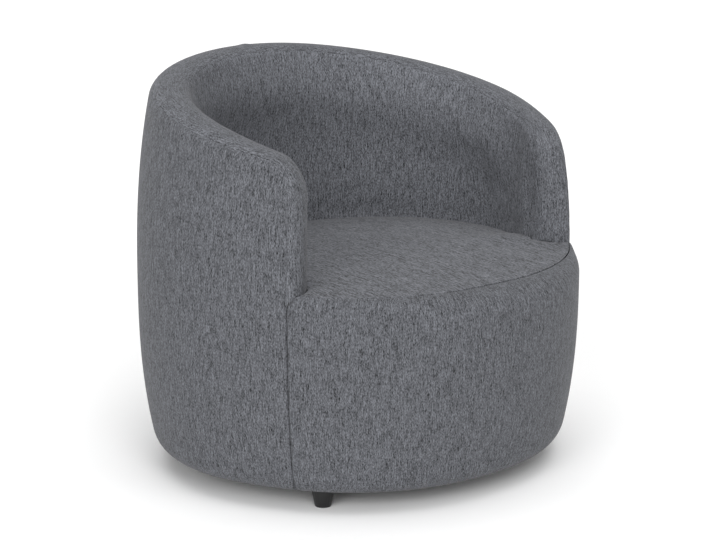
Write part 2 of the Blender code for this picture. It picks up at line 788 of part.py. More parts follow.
def base(wood, dust):
    nut_holes = [(x, y, TEE_BARREL_RADIUS + CLEARANCE) for x, y in foot_places().values()]
    plate("base_panel", wood, base_outline(BASE_EDGE_INSET), BASE_BOTTOM, BASE_TOP, nut_holes)
    bolt_holes = [(x, y, BOLT_RADIUS + 2 * CLEARANCE) for x, y in foot_places().values()]
    low = UNDERSIDE_HEIGHT
    plate("dust_cover", dust, base_outline(DUST_COVER_INSET), low, low + DUST_COVER, bolt_holes)


# Feet

def feet(plastic, steel):
    top = UNDERSIDE_HEIGHT - CLEARANCE
    bore = BOLT_RADIUS + CLEARANCE
    bore_end = top - BOLT_IN_FOOT - CLEARANCE
    for name, (x, y) in foot_places().items():
        profile = [
            (0.0, bore_end),
            (bore, bore_end),
            (bore, top),
            (FOOT_TOP_RADIUS - EDGE_BREAK, top),
            (FOOT_TOP_RADIUS, top - EDGE_BREAK),
            (FOOT_BOTTOM_RADIUS, EDGE_BREAK),
            (FOOT_BOTTOM_RADIUS - EDGE_BREAK, 0.0),
            (0.0, 0.0),
        ]
        turned("foot_" + name, plastic, profile, (x, y, 0.0))
        bolt_low = top - BOLT_IN_FOOT
        bolt_high = BASE_TOP + TEE_FLANGE + BOLT_ABOVE_BASE
        rod = [
            (0.0, bolt_high),
            (BOLT_RADIUS - EDGE_BREAK, bolt_high),
            (BOLT_RADIUS, bolt_high - EDGE_BREAK),
            (BOLT_RADIUS, bolt_low + 2 * EDGE_BREAK),
            (BOLT_RADIUS - 2 * EDGE_BREAK, bolt_low),
            (0.0, bolt_low),
        ]
        turned("hanger_bolt_" + name, steel, rod, (x, y, 0.0), 12)
        tee_nut("tee_nut_" + name, steel, (x, y, 0.0))


def tee_nut(name, steel, place):
    """Flanged nut: its barrel sits in the base panel, its flange on top."""
    low = BASE_TOP - TEE_BARREL
    flange_low = BASE_TOP + CLEARANCE
    flange_high = flange_low + TEE_FLANGE
    bore = BOLT_RADIUS + CLEARANCE
    profile = [
        (bore, low),
        (bore, flange_high),
        (TEE_FLANGE_RADIUS, flange_high),
        (TEE_FLANGE_RADIUS, flange_low),
        (TEE_BARREL_RADIUS, flange_low),
        (TEE_BARREL_RADIUS, low),
        (bore, low),
    ]
    return turned(name, steel, profile, place, 12)


# Seat springs

def deck_rise(x, y):
    """Height of the spring deck over its edge, bowed up in the middle."""
    across = max(0.0, 1.0 - (x / DECK_HALF_WIDTH) ** 2)
    along = max(0.0, 1.0 - ((y - DECK_MIDDLE) / DECK_HALF_DEPTH) ** 2)
    return SPRING_RISE * across * along


def clip_line(offset, radius_at, behind):
    """Y of a spring's clip, a set distance onto the rail at the spring's offset."""
    y = BACK_REACH if behind else -FRONT_REACH
    for _ in range(6):
        angle = math.atan2(offset, y)
        radius = radius_at(angle, SEAT_RAIL_INNER - CLIP_FROM_EDGE)
        y = math.copysign(math.sqrt(radius ** 2 - offset ** 2), y)
    return y


def spring_ends(offset):
    return clip_line(offset, wall_radius, True), clip_line(offset, front_radius, False)


def spring_height(offset, y):
    """Centre of the spring wire: at rest in its clips, bowed up between them."""
    rest = SEAT_RAIL_TOP + 2 * CLEARANCE + CLIP_STRAP + SPRING_WIRE / 2
    back, front = spring_ends(offset)
    middle = (back + front) / 2
    share = 1.0 - ((y - middle) / (back - middle)) ** 2
    return rest + deck_rise(offset, middle) * max(0.0, share)


def zigzag(offset):
    """Centre line of one zig-zag spring: bars across, joined by short legs with bent corners."""
    back, front = spring_ends(offset)
    loops = round((back - front) / SPRING_PITCH)
    pitch = (back - front) / loops
    reach = SPRING_HALF_WIDTH - SPRING_BEND
    points = []
    for bar in range(loops + 1):
        y = back - bar * pitch
        side = 1 if bar % 2 else -1
        points.append((offset + side * reach, y))
        points.append((offset - side * reach, y))
        if bar < loops:
            edge = offset - side * SPRING_HALF_WIDTH
            points.append((edge, y - SPRING_BEND))
            points.append((edge, y - pitch + SPRING_BEND))
    return [(x, y, spring_height(offset, y)) for x, y in points]


def spring_clip(name, steel, offset, y, toward):
    """Bent strap round the end bar of a spring, screwed flat on the rail."""
    low = SEAT_RAIL_TOP + CLEARANCE
    inside = SPRING_WIRE + 2 * CLEARANCE
    high = low + CLIP_STRAP + inside
    nose = inside / 2 + CLIP_STRAP
    spots = [
        (-nose + CLIP_BEND, low),
        (CLIP_TAIL, low),
        (CLIP_TAIL, low + CLIP_STRAP),
        (-nose + CLIP_STRAP, low + CLIP_STRAP),
        (-nose + CLIP_STRAP, high),
        (CLIP_TAIL / 2, high),
        (CLIP_TAIL / 2, high + CLIP_STRAP),
        (-nose + CLIP_BEND, high + CLIP_STRAP),
        (-nose, high + CLIP_STRAP - CLIP_BEND),
        (-nose, low + CLIP_BEND),
    ]
    rings = []
    for x in (offset - CLIP_WIDTH / 2, offset + CLIP_WIDTH / 2):
        rings.append([Vector((x, y + toward * along, height)) for along, height in spots])
    return loft(name, steel, rings, smooth=False)


def spring_offsets():
    return [SPRING_SPACING * (number - (SPRING_COUNT - 1) / 2) for number in range(SPRING_COUNT)]


def springs(steel):
    for number, offset in enumerate(spring_offsets(), 1):
        wire(f"seat_spring_{number}", steel, zigzag(offset), SPRING_WIRE)
        back, front = spring_ends(offset)
        spring_clip(f"spring_clip_back_{number}", steel, offset, back, 1)
        spring_clip(f"spring_clip_front_{number}", steel, offset, front, -1)
    y = DECK_MIDDLE
    drop = SPRING_WIRE / 2 + CLEARANCE + TIE_WIRE / 2
    points = []
    for offset in spring_offsets():
        height = spring_height(offset, y) - drop
        points.append((offset - TIE_BEND, y, height))
        points.append((offset + TIE_BEND, y, height))
    wire("tie_wire", steel, points, TIE_WIRE)


# Seat

def seat_columns():
    """Angles round the seat: inside the wall, then across the front with its two ears."""
    wall = [a for a in WALL_ANGLES if abs(a) < SEAM_ANGLE - COLUMN_STEP]
    wall = [-EAR_ANGLE] + wall + [EAR_ANGLE]
    return [("wall", a) for a in wall] + [("front", a) for a in front_columns(0.0)]


def seat_side(kind, angle, height, front_inset, offset):
    """Point on the side of the seat at a height."""
    if kind == "wall":
        inset = barrel_inset(angle, height) + wall_thickness(angle, height) + CLEARANCE + offset
        return at(angle, wall_radius(angle, inset), height)
    return at(angle, front_radius(angle, barrel_inset(math.pi, height) + front_inset + offset), height)


def seat_dome(x, y):
    """Crowned height of the seat's finished top."""
    across = max(0.0, 1.0 - (x / CROWN_HALF_WIDTH) ** 2)
    along = max(0.0, 1.0 - ((y - CROWN_MIDDLE) / CROWN_HALF_DEPTH) ** 2)
    return SEAT_EDGE_HEIGHT + SEAT_CROWN * across * along


def arm_foot():
    """Plan outline of the left arm front where it stands on the seat, from inside to outside."""
    cut = RIM_RADIUS * (1.0 - math.sqrt(0.5))
    inner = wall_thickness(ARM_END, SEAT_LEVEL) + FOOT_MARGIN
    spots = [(FRONT_SEAM_DEPTH + FOOT_MARGIN / 2, inner), (cut, inner)]
    spots += [(-FOOT_MARGIN, inner - RIM_RADIUS), (-FOOT_MARGIN, RIM_RADIUS), (cut, 0.0)]
    points = []
    for depth, inset in spots + [(FRONT_SEAM_DEPTH, 0.0)]:
        angle = ARM_END - depth / ARM_RADIUS
        points.append(at(angle, wall_radius(angle, inset), 0.0).xy)
    return points


def tuck_line():
    """Plan points where the seat top dives beside the wall and the arm fronts."""
    wall = [seat_side(kind, a, SEAT_LEVEL, 0.0, 0.0).xy for kind, a in seat_columns() if kind == "wall"]
    foot = arm_foot()
    return [Vector((-point.x, point.y)) for point in reversed(foot)] + wall + foot


def under_arm(spot, line):
    """Whether a plan point lies under the left arm front, or with x mirrored under the right."""
    foot = line[-6:]
    for first, second in zip(foot, foot[1:] + foot[:1]):
        if (second - first).cross(spot - first) < 0.0:
            return False
    return True


def seat_top(x, y, line):
    """Finished height of the seat top: the crown, dipped towards the wall."""
    spot = Vector((x, y))
    least = 0.0 if under_arm(Vector((abs(x), y)), line) else 1.0
    for first, second in zip(line, line[1:]):
        run = second - first
        share = max(0.0, min(1.0, (spot - first).dot(run) / run.length_squared))
        least = min(least, (spot - first - run * share).length)
    fade = max(0.0, 1.0 - least / DIP_WIDTH)
    return seat_dome(x, y) - SEAT_EDGE_DIP * fade ** 2


def from_ear(angle, at_ear, in_middle):
    """Value along the seat front that eases from the ears beside the arms to the middle."""
    away = abs(angle % (2 * math.pi) - math.pi)
    share = max(0.0, min(1.0, (math.pi - EAR_ANGLE - away) / math.radians(EAR_BLEND)))
    return in_middle + (at_ear - in_middle) * (1.0 - share) ** 2


def seam_inset(angle):
    return from_ear(angle, EAR_SEAM_INSET, FRONT_SEAM_INSET)


def roll_start(angle):
    return from_ear(angle, EAR_ROLL_START, FRONT_ROLL_START)


def seam_height(angle, line):
    """Height of the front seam, where the rolled edge meets the crowned top."""
    seam = at(angle, front_radius(angle, seam_inset(angle)), 0.0)
    return seat_top(seam.x, seam.y, line)


def seat_surface(x, y):
    """Finished height of the seat below the arm fronts: its top, or its rolled front edge."""
    line = tuck_line()
    angle = math.atan2(x, y) % (2 * math.pi)
    inset = max(0.0, front_radius(angle, 0.0) - math.hypot(x, y)) + FOOT_LEAD
    if inset >= seam_inset(angle):
        return seat_top(x, y, line)
    rise = math.sin(math.acos(1.0 - inset / seam_inset(angle)))
    return roll_start(angle) + (seam_height(angle, line) - roll_start(angle)) * rise


def roll_point(angle, turn, offset, line):
    """Point on the rolled top edge of the seat front, from upright to the seam."""
    inset = seam_inset(angle) * (1.0 - math.cos(turn)) + offset * math.cos(turn)
    rise = (seam_height(angle, line) - roll_start(angle)) * math.sin(turn)
    height = roll_start(angle) + rise - offset * math.sin(turn)
    inset += barrel_inset(math.pi, roll_start(angle)) * math.cos(turn)
    return at(angle, front_radius(angle, inset), height)


def toward_middle(spot, share):
    """Plan point part of the way from the seat's edge to its middle."""
    return spot.x * (1.0 - share), spot.y * (1.0 - share) + SEAT_MIDDLE * share


def top_rings(line, shares, drop, edge_offset):
    """Rings over the seat top, from its edge to the middle, at a drop below the finished face."""
    rings = []
    for share in shares:
        ring = []
        for kind, angle in seat_columns():
            if kind == "wall":
                edge = seat_side(kind, angle, SEAT_LEVEL, 0.0, edge_offset)
            else:
                edge = at(angle, front_radius(angle, seam_inset(angle) + edge_offset), 0.0)
            x, y = toward_middle(edge, share)
            ring.append(Vector((x, y, seat_top(x, y, line) - drop)))
        rings.append(ring)
    return rings


TOP_SHARES = (0.0, 0.035, 0.09, 0.20, 0.45, 0.75)


def seat_top_cover(material):
    """Crowned cloth of the seat top, from the front seam to the tuck beside the wall."""
    line = tuck_line()
    upper = top_rings(line, TOP_SHARES, 0.0, 0.0)
    lower = top_rings(line, TOP_SHARES, CLOTH, 0.0)
    return dish("seat_top_cover", material, lower[::-1] + upper, line, CLOTH)


def dish(name, material, rings, line, thickness):
    """Sheet made of rings that run out over its underside and back over its top."""
    bm = bmesh.new()
    loops = [[bm.verts.new(point) for point in ring] for ring in rings]
    for lower, upper in zip(loops, loops[1:]):
        for k in range(len(lower)):
            n = (k + 1) % len(lower)
            quad(bm, lower[k], lower[n], upper[n], upper[k])
    top = seat_top(0.0, SEAT_MIDDLE, line)
    for loop, height in ((loops[0][::-1], top - thickness), (loops[-1], top)):
        middle = bm.verts.new((0.0, SEAT_MIDDLE, height))
        for k in range(len(loop)):
            bm.faces.new((loop[k], loop[(k + 1) % len(loop)], middle))
    return add_object(name, mesh_from(name, bm), material)


def seat_foam(material):
    """Foam block of the seat: flat sides in the wall, a rolled front edge, a crowned top."""
    line = tuck_line()
    rings = []
    low = DECK_EDGE + INSULATOR + CLEARANCE
    rings.append([seat_side(kind, a, low, FOAM_FACE, 0.0) for kind, a in seat_columns()])
    starts = [(kind, a, FRONT_ROLL_START if kind == "wall" else roll_start(a)) for kind, a in seat_columns()]
    rings.append([seat_side(kind, a, start, FOAM_FACE, 0.0) for kind, a, start in starts])
    edge = top_rings(line, (0.0,), FOAM_FACE, 0.0)[0]
    for degrees in (30, 60):
        turn = math.radians(degrees)
        ring = []
        for (kind, angle), rim in zip(seat_columns(), edge):
            if kind == "front":
                ring.append(roll_point(angle, turn, FOAM_FACE, line))
            else:
                level = FRONT_ROLL_START + (rim.z - FRONT_ROLL_START) * math.sin(turn)
                ring.append(seat_side(kind, angle, level, 0.0, 0.0))
        rings.append(ring)
    rings += top_rings(line, TOP_SHARES, FOAM_FACE, 0.0)
    bm = bmesh.new()
    loops = [[bm.verts.new(point) for point in ring] for ring in rings]
    for lower, upper in zip(loops, loops[1:]):
        for k in range(len(lower)):
            n = (k + 1) % len(lower)
            quad(bm, lower[k], lower[n], upper[n], upper[k])
    middle = bm.verts.new((0.0, SEAT_MIDDLE, seat_top(0.0, SEAT_MIDDLE, line) - FOAM_FACE))
    last = loops[-1]
    for k in range(len(last)):
        bm.faces.new((last[k], last[(k + 1) % len(last)], middle))
    close_under(bm, loops[0], INSULATOR + CLEARANCE)
    return add_object("seat_foam", mesh_from("seat_foam", bm), material)


UNDER_SHARES = (0.20, 0.45, 0.75)


def close_under(bm, edge, lift):
    """Underside of a layer on the spring deck, bowed as the deck is, joined to its edge loop."""
    previous = edge
    outline = [vert.co.copy() for vert in edge]
    for share in UNDER_SHARES:
        ring = []
        for co in outline:
            x, y = toward_middle(co, share)
            ring.append(bm.verts.new((x, y, DECK_EDGE + lift + deck_rise(x, y))))
        for k in range(len(ring)):
            n = (k + 1) % len(ring)
            quad(bm, previous[n], previous[k], ring[k], ring[n])
        previous = ring
    middle = bm.verts.new((0.0, SEAT_MIDDLE, DECK_EDGE + lift + deck_rise(0.0, SEAT_MIDDLE)))
    for k in range(len(previous)):
        bm.faces.new((previous[(k + 1) % len(previous)], previous[k], middle))


def spring_insulator(material):
    """Felt between the springs and the foam."""
    bm = bmesh.new()
    loops = []
    for height in (DECK_EDGE, DECK_EDGE + INSULATOR):
        ring = [seat_side(kind, a, height, FOAM_FACE, 0.0) for kind, a in seat_columns()]
        loops.append([bm.verts.new(point) for point in ring])
    for k in range(len(loops[0])):
        n = (k + 1) % len(loops[0])
        quad(bm, loops[0][k], loops[0][n], loops[1][n], loops[1][k])
    close_under(bm, loops[0], 0.0)
    close_under(bm, loops[1], INSULATOR)
    return add_object("spring_insulator", mesh_from("spring_insulator", bm), material)


def front_columns(gap):
    start = EAR_ANGLE + gap
    near = [start, ARM_END + CLEARANCE]
    inner = [a for a in FRONT_ANGLES if near[1] + 2 * COLUMN_STEP < a < 2 * math.pi - near[1] - 2 * COLUMN_STEP]
    return near + inner + [2 * math.pi - a for a in reversed(near)]


def front_point(angle, height, inset):
    return at(angle, front_radius(angle, barrel_inset(math.pi, height) + inset), height)


def front_cover(material):
    """Cloth of the seat front: hem, upright face and rolled top edge up to the seam."""
    face, back = [], []
    line = tuck_line()
    heights = [h for h in LOW_HEIGHTS if h < FRONT_ROLL_START - ROW_STEP]
    hem_low = UNDERSIDE_HEIGHT + DUST_COVER + CLEARANCE
    tuck = LOW_INSETS[0] + HEM_TUCK
    for angle in front_columns(0.0):
        outer = [at(angle, front_radius(angle, inset), hem_low) for inset in (HEM_INSET, tuck)]
        inner = [at(angle, front_radius(angle, inset), hem_low + CLOTH) for inset in (HEM_INSET, tuck)]
        outer += [front_point(angle, h, 0.0) for h in heights]
        inner += [front_point(angle, max(h, LOW_HEIGHTS[0] + CLOTH), CLOTH) for h in heights]
        seam = math.acos(2 * CLEARANCE / seam_inset(angle))
        for turn in (0.0, math.radians(30), math.radians(60), seam):
            outer.append(roll_point(angle, turn, 0.0, line))
            inner.append(roll_point(angle, turn, CLOTH, line))
        face.append(outer)
        back.append(inner)
    return slab("front_cover", material, face, back)


def front_layers(foam, board_material):
    """Foam and board behind the seat front."""
    face, back = [], []
    rows = [BASE_BOTTOM] + [h for h in LOW_HEIGHTS if BASE_BOTTOM + ROW_STEP < h <= SEAT_RAIL_HEIGHT]
    rows.append(DECK_EDGE - CLEARANCE)
    filled = foot_filled(FOAM_BACK)
    for angle in front_columns(0.0):
        face.append([front_point(angle, h, FOAM_FACE) for h in rows])
        back.append([front_point(angle, h, filled(math.pi, h)) for h in rows])
    slab("front_pad", foam, face, back)
    face, back = [], []
    rows = [h for h in LOW_HEIGHTS if FOOT_FOAM_TOP < h < SEAT_RAIL_HEIGHT]
    rows = [BOARD_FOOT] + rows + [SEAT_RAIL_HEIGHT]
    for angle in front_columns(CLEARANCE / HALF_WIDTH):
        face.append([front_point(angle, h, BOARD_FACE) for h in rows])
        back.append([front_point(angle, h, BOARD_BACK) for h in rows])
    slab("front_board", board_material, face, back)


def wall_layers(cloth, foam, board_material):
    """The wrap-around layers of the wall, from the outside in."""
    seam_columns = wall_columns()
    outer_cover(cloth)
    wall_layer("outer_pad", foam, seam_columns, BASE_BOTTOM, rounded(FOAM_FACE), foot_filled(FOAM_BACK), True)
    flat = core_columns()
    wall_layer(
        "outer_board", board_material, flat, BOARD_FOOT,
        lambda a, h: BOARD_FACE, lambda a, h: BOARD_BACK, False,
    )
    low = SEAT_RAIL_TOP + CLEARANCE
    wall_layer(
        "inner_board", board_material, flat, low,
        lambda a, h: INNER_BOARD_FACE, lambda a, h: INNER_BOARD_BACK, False,
    )
    wall_layer(
        "inner_pad", foam, seam_columns, low,
        lambda a, h: INNER_FOAM_FACE, rounded_inner(FOAM_FACE), True,
    )
    wall_layer(
        "inner_cover", cloth, seam_columns, low,
        rounded_inner(CLOTH), rounded_inner(0.0), True,
    )


def centre_footprint():
    """Hang every piece on one empty that brings the middle of the footprint over the origin."""
    pieces = list(bpy.data.collections["cocktail_chair"].objects)
    back = max(vertex.co.y for vertex in bpy.data.objects["outer_cover"].data.vertices)
    front = min(vertex.co.y for vertex in bpy.data.objects["front_cover"].data.vertices)
    holder = bpy.data.objects.new("chair_origin", None)
    holder.location.y = -(back + front) / 2
    bpy.data.collections["cocktail_chair"].objects.link(holder)
    for piece in pieces:
        piece.parent = holder


def build_chair():
    clear_scene()
    parts = bpy.data.collections.new("cocktail_chair")
    bpy.context.scene.collection.children.link(parts)
    cloth = make_material("grey_melange_cloth", (0.135, 0.142, 0.155), 0.95)
    foam = make_material("polyurethane_foam", (0.78, 0.72, 0.55), 0.90)
    wood = make_material("birch_plywood", (0.62, 0.46, 0.28), 0.65)
    board_material = make_material("hardboard", (0.30, 0.18, 0.10), 0.75)
    steel = make_material("zinc_plated_steel", (0.55, 0.56, 0.58), 0.35, 1.0)
    black = make_material("black_plastic", (0.012, 0.012, 0.012), 0.45)
    felt = make_material("grey_felt", (0.10, 0.10, 0.10), 0.98)
    dust = make_material("black_nonwoven", (0.015, 0.015, 0.015), 0.95)
    base(wood, dust)
    feet(black, steel)
    wall_ribs(wood)
    top_rail(wood)
    seat_frame(wood)
    springs(steel)
    spring_insulator(felt)
    seat_foam(foam)
    seat_top_cover(cloth)
    front_layers(foam, board_material)
    front_cover(cloth)
    wall_layers(cloth, foam, board_material)
    rim_pad(foam)
    rim_band(cloth)
    centre_footprint()


build_chair()
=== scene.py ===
"""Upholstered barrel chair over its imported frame: cloth panels over foam, dust cover, staples and stage."""

import math

import bmesh
import bpy
import numpy as np
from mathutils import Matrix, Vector
from mathutils.geometry import delaunay_2d_cdt


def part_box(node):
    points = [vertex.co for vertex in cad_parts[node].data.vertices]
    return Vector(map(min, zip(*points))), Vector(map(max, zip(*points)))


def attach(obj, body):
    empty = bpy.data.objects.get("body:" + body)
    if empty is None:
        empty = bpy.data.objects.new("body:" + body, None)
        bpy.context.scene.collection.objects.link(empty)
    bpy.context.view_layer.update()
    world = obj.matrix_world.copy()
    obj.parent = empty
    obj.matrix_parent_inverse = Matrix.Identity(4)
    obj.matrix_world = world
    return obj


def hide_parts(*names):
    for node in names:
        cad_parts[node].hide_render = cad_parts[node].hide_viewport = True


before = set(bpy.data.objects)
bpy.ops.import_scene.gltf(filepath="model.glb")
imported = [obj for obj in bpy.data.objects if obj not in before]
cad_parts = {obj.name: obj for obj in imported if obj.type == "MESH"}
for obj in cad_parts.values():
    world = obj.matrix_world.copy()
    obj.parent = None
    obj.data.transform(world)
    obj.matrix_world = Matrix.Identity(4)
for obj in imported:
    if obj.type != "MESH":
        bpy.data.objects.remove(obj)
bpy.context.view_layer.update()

bl_info = {
    "name": "Barrel Chair Upholstery",
    "version": (1, 0, 0),
    "blender": (4, 5, 0),
    "location": "View3D > Sidebar > Chair",
    "description": "Builds the cloth, foam, dust cover, staples and stage of an upholstered barrel chair",
    "category": "Object",
}

# Sizes are in metres. Plan angles are in radians, from the middle of the back round to the front.
# Plan outline and side profile of the wall, as the frame's source has them
ORIGIN_SHIFT = 0.0103
HALF_WIDTH = 0.416
BACK_REACH = 0.367
BACK_FULLNESS = 2.11
SIDE_REACH = 0.454
SIDE_FULLNESS = 1.68
FRONT_REACH = 0.387
FRONT_FULLNESS = 2.10
BACK_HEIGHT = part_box("rim_band_cover")[1].z
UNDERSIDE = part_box("outer_cover")[0].z
ARM_END = math.radians(123.2)
ARM_DROP = 0.142
DROP_TURN = 1.65
WIDEST_HEIGHT = 0.335
TOP_LEAN = 0.035
LEAN_FOLLOW = 0.25
LOWER_TAPER = 0.030
PROFILE_POWER = 2.5
LOWER_EDGE_HEIGHT = 0.036
LOWER_EDGE_INSET = 0.022
LOWER_EDGE_TOP = UNDERSIDE + LOWER_EDGE_HEIGHT
WALL_AT_RIM = 0.070
WALL_AT_SEAT = 0.082
CLEARANCE = 0.0003

# Rim, arm fronts and the band's two seams
RIM_RADIUS = 0.026
RIM_POWER = 2.4
ARM_CORNER_RADIUS = 0.060
CORNER_TURNS = (10, 20, 30, 40, 50, 60, 68, 75, 81, 86, 90)
SEAM_DEPTH = 0.013
FRONT_SEAM_DEPTH = 0.022
BAND_FOOT = 0.376
BAND_HALF = WALL_AT_RIM / 2
BAND_SEAM_ZONE = 0.012
BAND_ROWS = 12
BAND_BACK_SPREAD = 0.86
BAND_BACK_GAP = 0.0004

# Joint across the band, a little left of the back's middle: lump of the seam allowance and seam
BAND_JOINT = math.radians(-4.0)
JOINT_STEPS = np.array([0.0, 0.0005, 0.001, 0.002, 0.003, 0.005, 0.008, 0.012])
JOINT_ZONE = 0.016
JOINT_LUMP = 0.0018
JOINT_WIDTH = 0.010
JOINT_TUCK = 1.5

# Padding of the inside wall: a soft roll below the rim, less padding round the arm fronts
ROLL_DEPTH = 0.085
ROLL_END = math.radians(114)
ROLL_FADE = math.radians(24)
NOSE_DEPTH = 0.048
NOSE_EASE = 0.012

# Insets of the pieces' hidden backs, and the hem that turns under the chair
FOAM_BACK = 0.0112
INNER_FOAM_FACE = 0.0493
HEM_FACE_INSETS = (0.072, 0.066, 0.060, 0.056)
HEM_BACK_INSETS = (0.072, 0.0690, 0.0660, 0.0642)
HEM_LEVEL = 0.0373
HEM_SAG = 0.0002
HEM_TOP = 0.0388
HEM_GAP = 0.001

# Seams, puckers and ripples in the cloth
SEAM_STEPS = (0.0, 0.0003, 0.0008, 0.0014, 0.0022, 0.0035, 0.0055, 0.009, 0.014, 0.021)
SEAM_ZONE = 0.030
INNER_SEAM_RADIUS = 0.0004
GROOVE_RADIUS = 0.0045
GROOVE_TOP = BAND_FOOT - 0.006
PUCKER_DEPTH = 0.0009
PUCKER_REACH = 0.007
RIPPLE_DEPTH = 0.0012
RIPPLE_PLACE = 0.022
RIPPLE_REACH = 0.016

# Seat: crown, dip beside the wall, lift beside the arm fronts
SEAT_LEVEL = 0.376
SEAT_EDGE_HEIGHT = 0.369
SEAT_SIDE_FOOT = 0.345
SEAT_MIDDLE = -0.030
SEAT_RING_REACH = 0.30
SEAT_DECK_GAP = 0.0005
SEAT_DECK_SHARE = 0.06
SEAT_DECK_RINGS = (0.7, 0.3, 0.0)
SEAT_TOP_RINGS = np.linspace(0.10, 0.97, 30)[1:]
CROWN_HALF_WIDTH = 0.560
CROWN_HALF_DEPTH = 0.420
CROWN_MIDDLE = 0.030
WALL_DIP = 0.005
DIP_WIDTH = 0.020
ARM_DIP = 0.006
ARM_DIP_NARROWING = 0.3
ARM_DIP_START = math.radians(92)
ARM_DIP_FADE = math.radians(22)
ARM_FOOT_MARGIN = 0.004
ARM_FOOT_SLACK = 0.001
ARM_LIFT = 0.009
ARM_LIFT_PLACE = 0.04
ARM_LIFT_SPREAD = 0.15
ARM_LIFT_REACH = 0.060

# Seat front: where its top edge starts to roll and where its seam lies, in the middle and beside the arms
FRONT_ROLL_START = 0.334
EAR_ROLL_START = 0.354
FRONT_SEAM_INSET = 0.052
EAR_SEAM_INSET = 0.006
EAR_POWER = 1.6
FRONT_ROLL_ARC = 0.060
FRONT_FACE_HEIGHT = 0.25

# Rough radii and lengths that turn angles into lengths, for spacing and for patterns along a panel
WALL_RADIUS = 0.41
BAND_RADIUS = 0.40
FRONT_RADIUS = 0.39
SEAT_RADIUS = 0.33
SEAT_RUN = 0.8
WALL_LENGTH = 1.70
FRONT_LENGTH = 0.62

# Starts of the yarns on the band and the seat front, so that no two panels show the same cloth
BAND_YARN_START = 3.0
FRONT_YARN_START = 5.0

# Cloth settling under the pressure of its filling
CLOTH_MASS = 0.3
CLOTH_STIFFNESS = 40.0
CLOTH_BENDING = 0.5
FILLING_PRESSURE = 4.0
SETTLE_QUALITY = 5
SETTLE_FRAMES = 12
SETTLE_CAP = 0.006
HELD_WIDTH = 0.010
HELD_FADE = 0.045

# Dust cover and its staples
SHEET_INSET = 0.067
SHEET_STEP = 0.012
SHEET_GRID = 0.018
SHEET_GRID_STIR = 0.003
SHEET_EXTENT = 0.40
SHEET_EDGE_GAP = 0.008
SHEET_FACE_GAP = 0.00015
SHEET_THICKNESS = 0.0005
SHEET_WAVE = 0.00012
BOLT_HOLE = 0.0047
STAPLE_INSET = 0.0715
STAPLE_STEP = 0.006
STAPLE_LEVEL = 0.0012
STAPLE_CROWN = 0.010
STAPLE_WIRE = 0.0009
STAPLE_TURN = 0.14
STAPLE_SEED = 5
FOOT_CLEARANCE = 0.031


# Sidebar settings

def to_linear(text):
    """Linear colour from an sRGB hex value."""
    parts = [int(text[k:k + 2], 16) / 255 for k in (0, 2, 4)]
    return tuple(c / 12.92 if c <= 0.04045 else ((c + 0.055) / 1.055) ** 2.4 for c in parts) + (1.0,)


class ChairSettings(bpy.types.PropertyGroup):
    """Sizes and colours of the upholstery that can be changed in the sidebar"""

    grid: bpy.props.FloatProperty(
        name="Grid", description="Spacing of the cloth grid", default=0.008, min=0.004, unit="LENGTH")
    seat_crown: bpy.props.FloatProperty(
        name="Seat crown", description="Rise of the seat's middle over its edge", default=0.027,
        unit="LENGTH")
    back_padding: bpy.props.FloatProperty(
        name="Back padding", description="How far the inside stands forward below the rim", default=0.021,
        unit="LENGTH")
    seam_radius: bpy.props.FloatProperty(
        name="Seam radius", description="Radius at which cloth turns into a seam", default=0.0010,
        unit="LENGTH")
    staple_spacing: bpy.props.FloatProperty(
        name="Staple spacing", description="Spacing of the staples under the chair", default=0.042,
        unit="LENGTH")
    yarn_width: bpy.props.FloatProperty(
        name="Yarn width", description="Width of one chenille yarn", default=0.0011, unit="LENGTH")
    slub_length: bpy.props.FloatProperty(
        name="Slub length", description="Typical length of a slub along the yarn", default=0.020,
        unit="LENGTH")
    yarn_dark: bpy.props.FloatVectorProperty(
        name="Dark yarn", description="Dark tone of the melange yarn", subtype="COLOR",
        default=to_linear("35373B")[:3], min=0.0, max=1.0)
    yarn_light: bpy.props.FloatVectorProperty(
        name="Light yarn", description="Light tone of the melange yarn", subtype="COLOR",
        default=to_linear("75777D")[:3], min=0.0, max=1.0)


def chair():
    """Sizes and colours in the sidebar."""
    return bpy.context.scene.barrel_chair


def typed(size):
    """A sidebar size as it was typed; Blender keeps it in single precision."""
    return round(size, 6)


# Plan and side profile, on arrays

def fullness_radius(angle, half_width, reach, fullness):
    """Plan radius of a rounded outline; a fullness of 2 is an ellipse, and a higher one is squarer."""
    across = np.abs(np.sin(angle)) / half_width
    along = np.abs(np.cos(angle)) / reach
    return (across ** fullness + along ** fullness) ** (-1.0 / fullness)


def wall_outline(angle):
    """Plan radius of the wall at its widest."""
    back = fullness_radius(angle, HALF_WIDTH, BACK_REACH, BACK_FULLNESS)
    side = fullness_radius(angle, HALF_WIDTH, SIDE_REACH, SIDE_FULLNESS)
    return np.where(np.cos(angle) > 0.0, back, side)


ARM_RADIUS = float(wall_outline(ARM_END))
CORNER_START = ARM_END - ARM_CORNER_RADIUS / ARM_RADIUS
SEAM_ANGLE = ARM_END - FRONT_SEAM_DEPTH / ARM_RADIUS
EAR_ANGLE = SEAM_ANGLE + 2 * CLEARANCE / ARM_RADIUS
FAR_EAR = 2 * math.pi - EAR_ANGLE
FRONT_HALF_WIDTH = abs(math.sin(ARM_END)) / (
    ARM_RADIUS ** -FRONT_FULLNESS - (abs(math.cos(ARM_END)) / FRONT_REACH) ** FRONT_FULLNESS
) ** (1.0 / FRONT_FULLNESS)


def front_outline(angle):
    """Plan radius of the seat front at its widest, which meets the wall's outline at the arm ends."""
    return fullness_radius(angle, FRONT_HALF_WIDTH, FRONT_REACH, FRONT_FULLNESS)


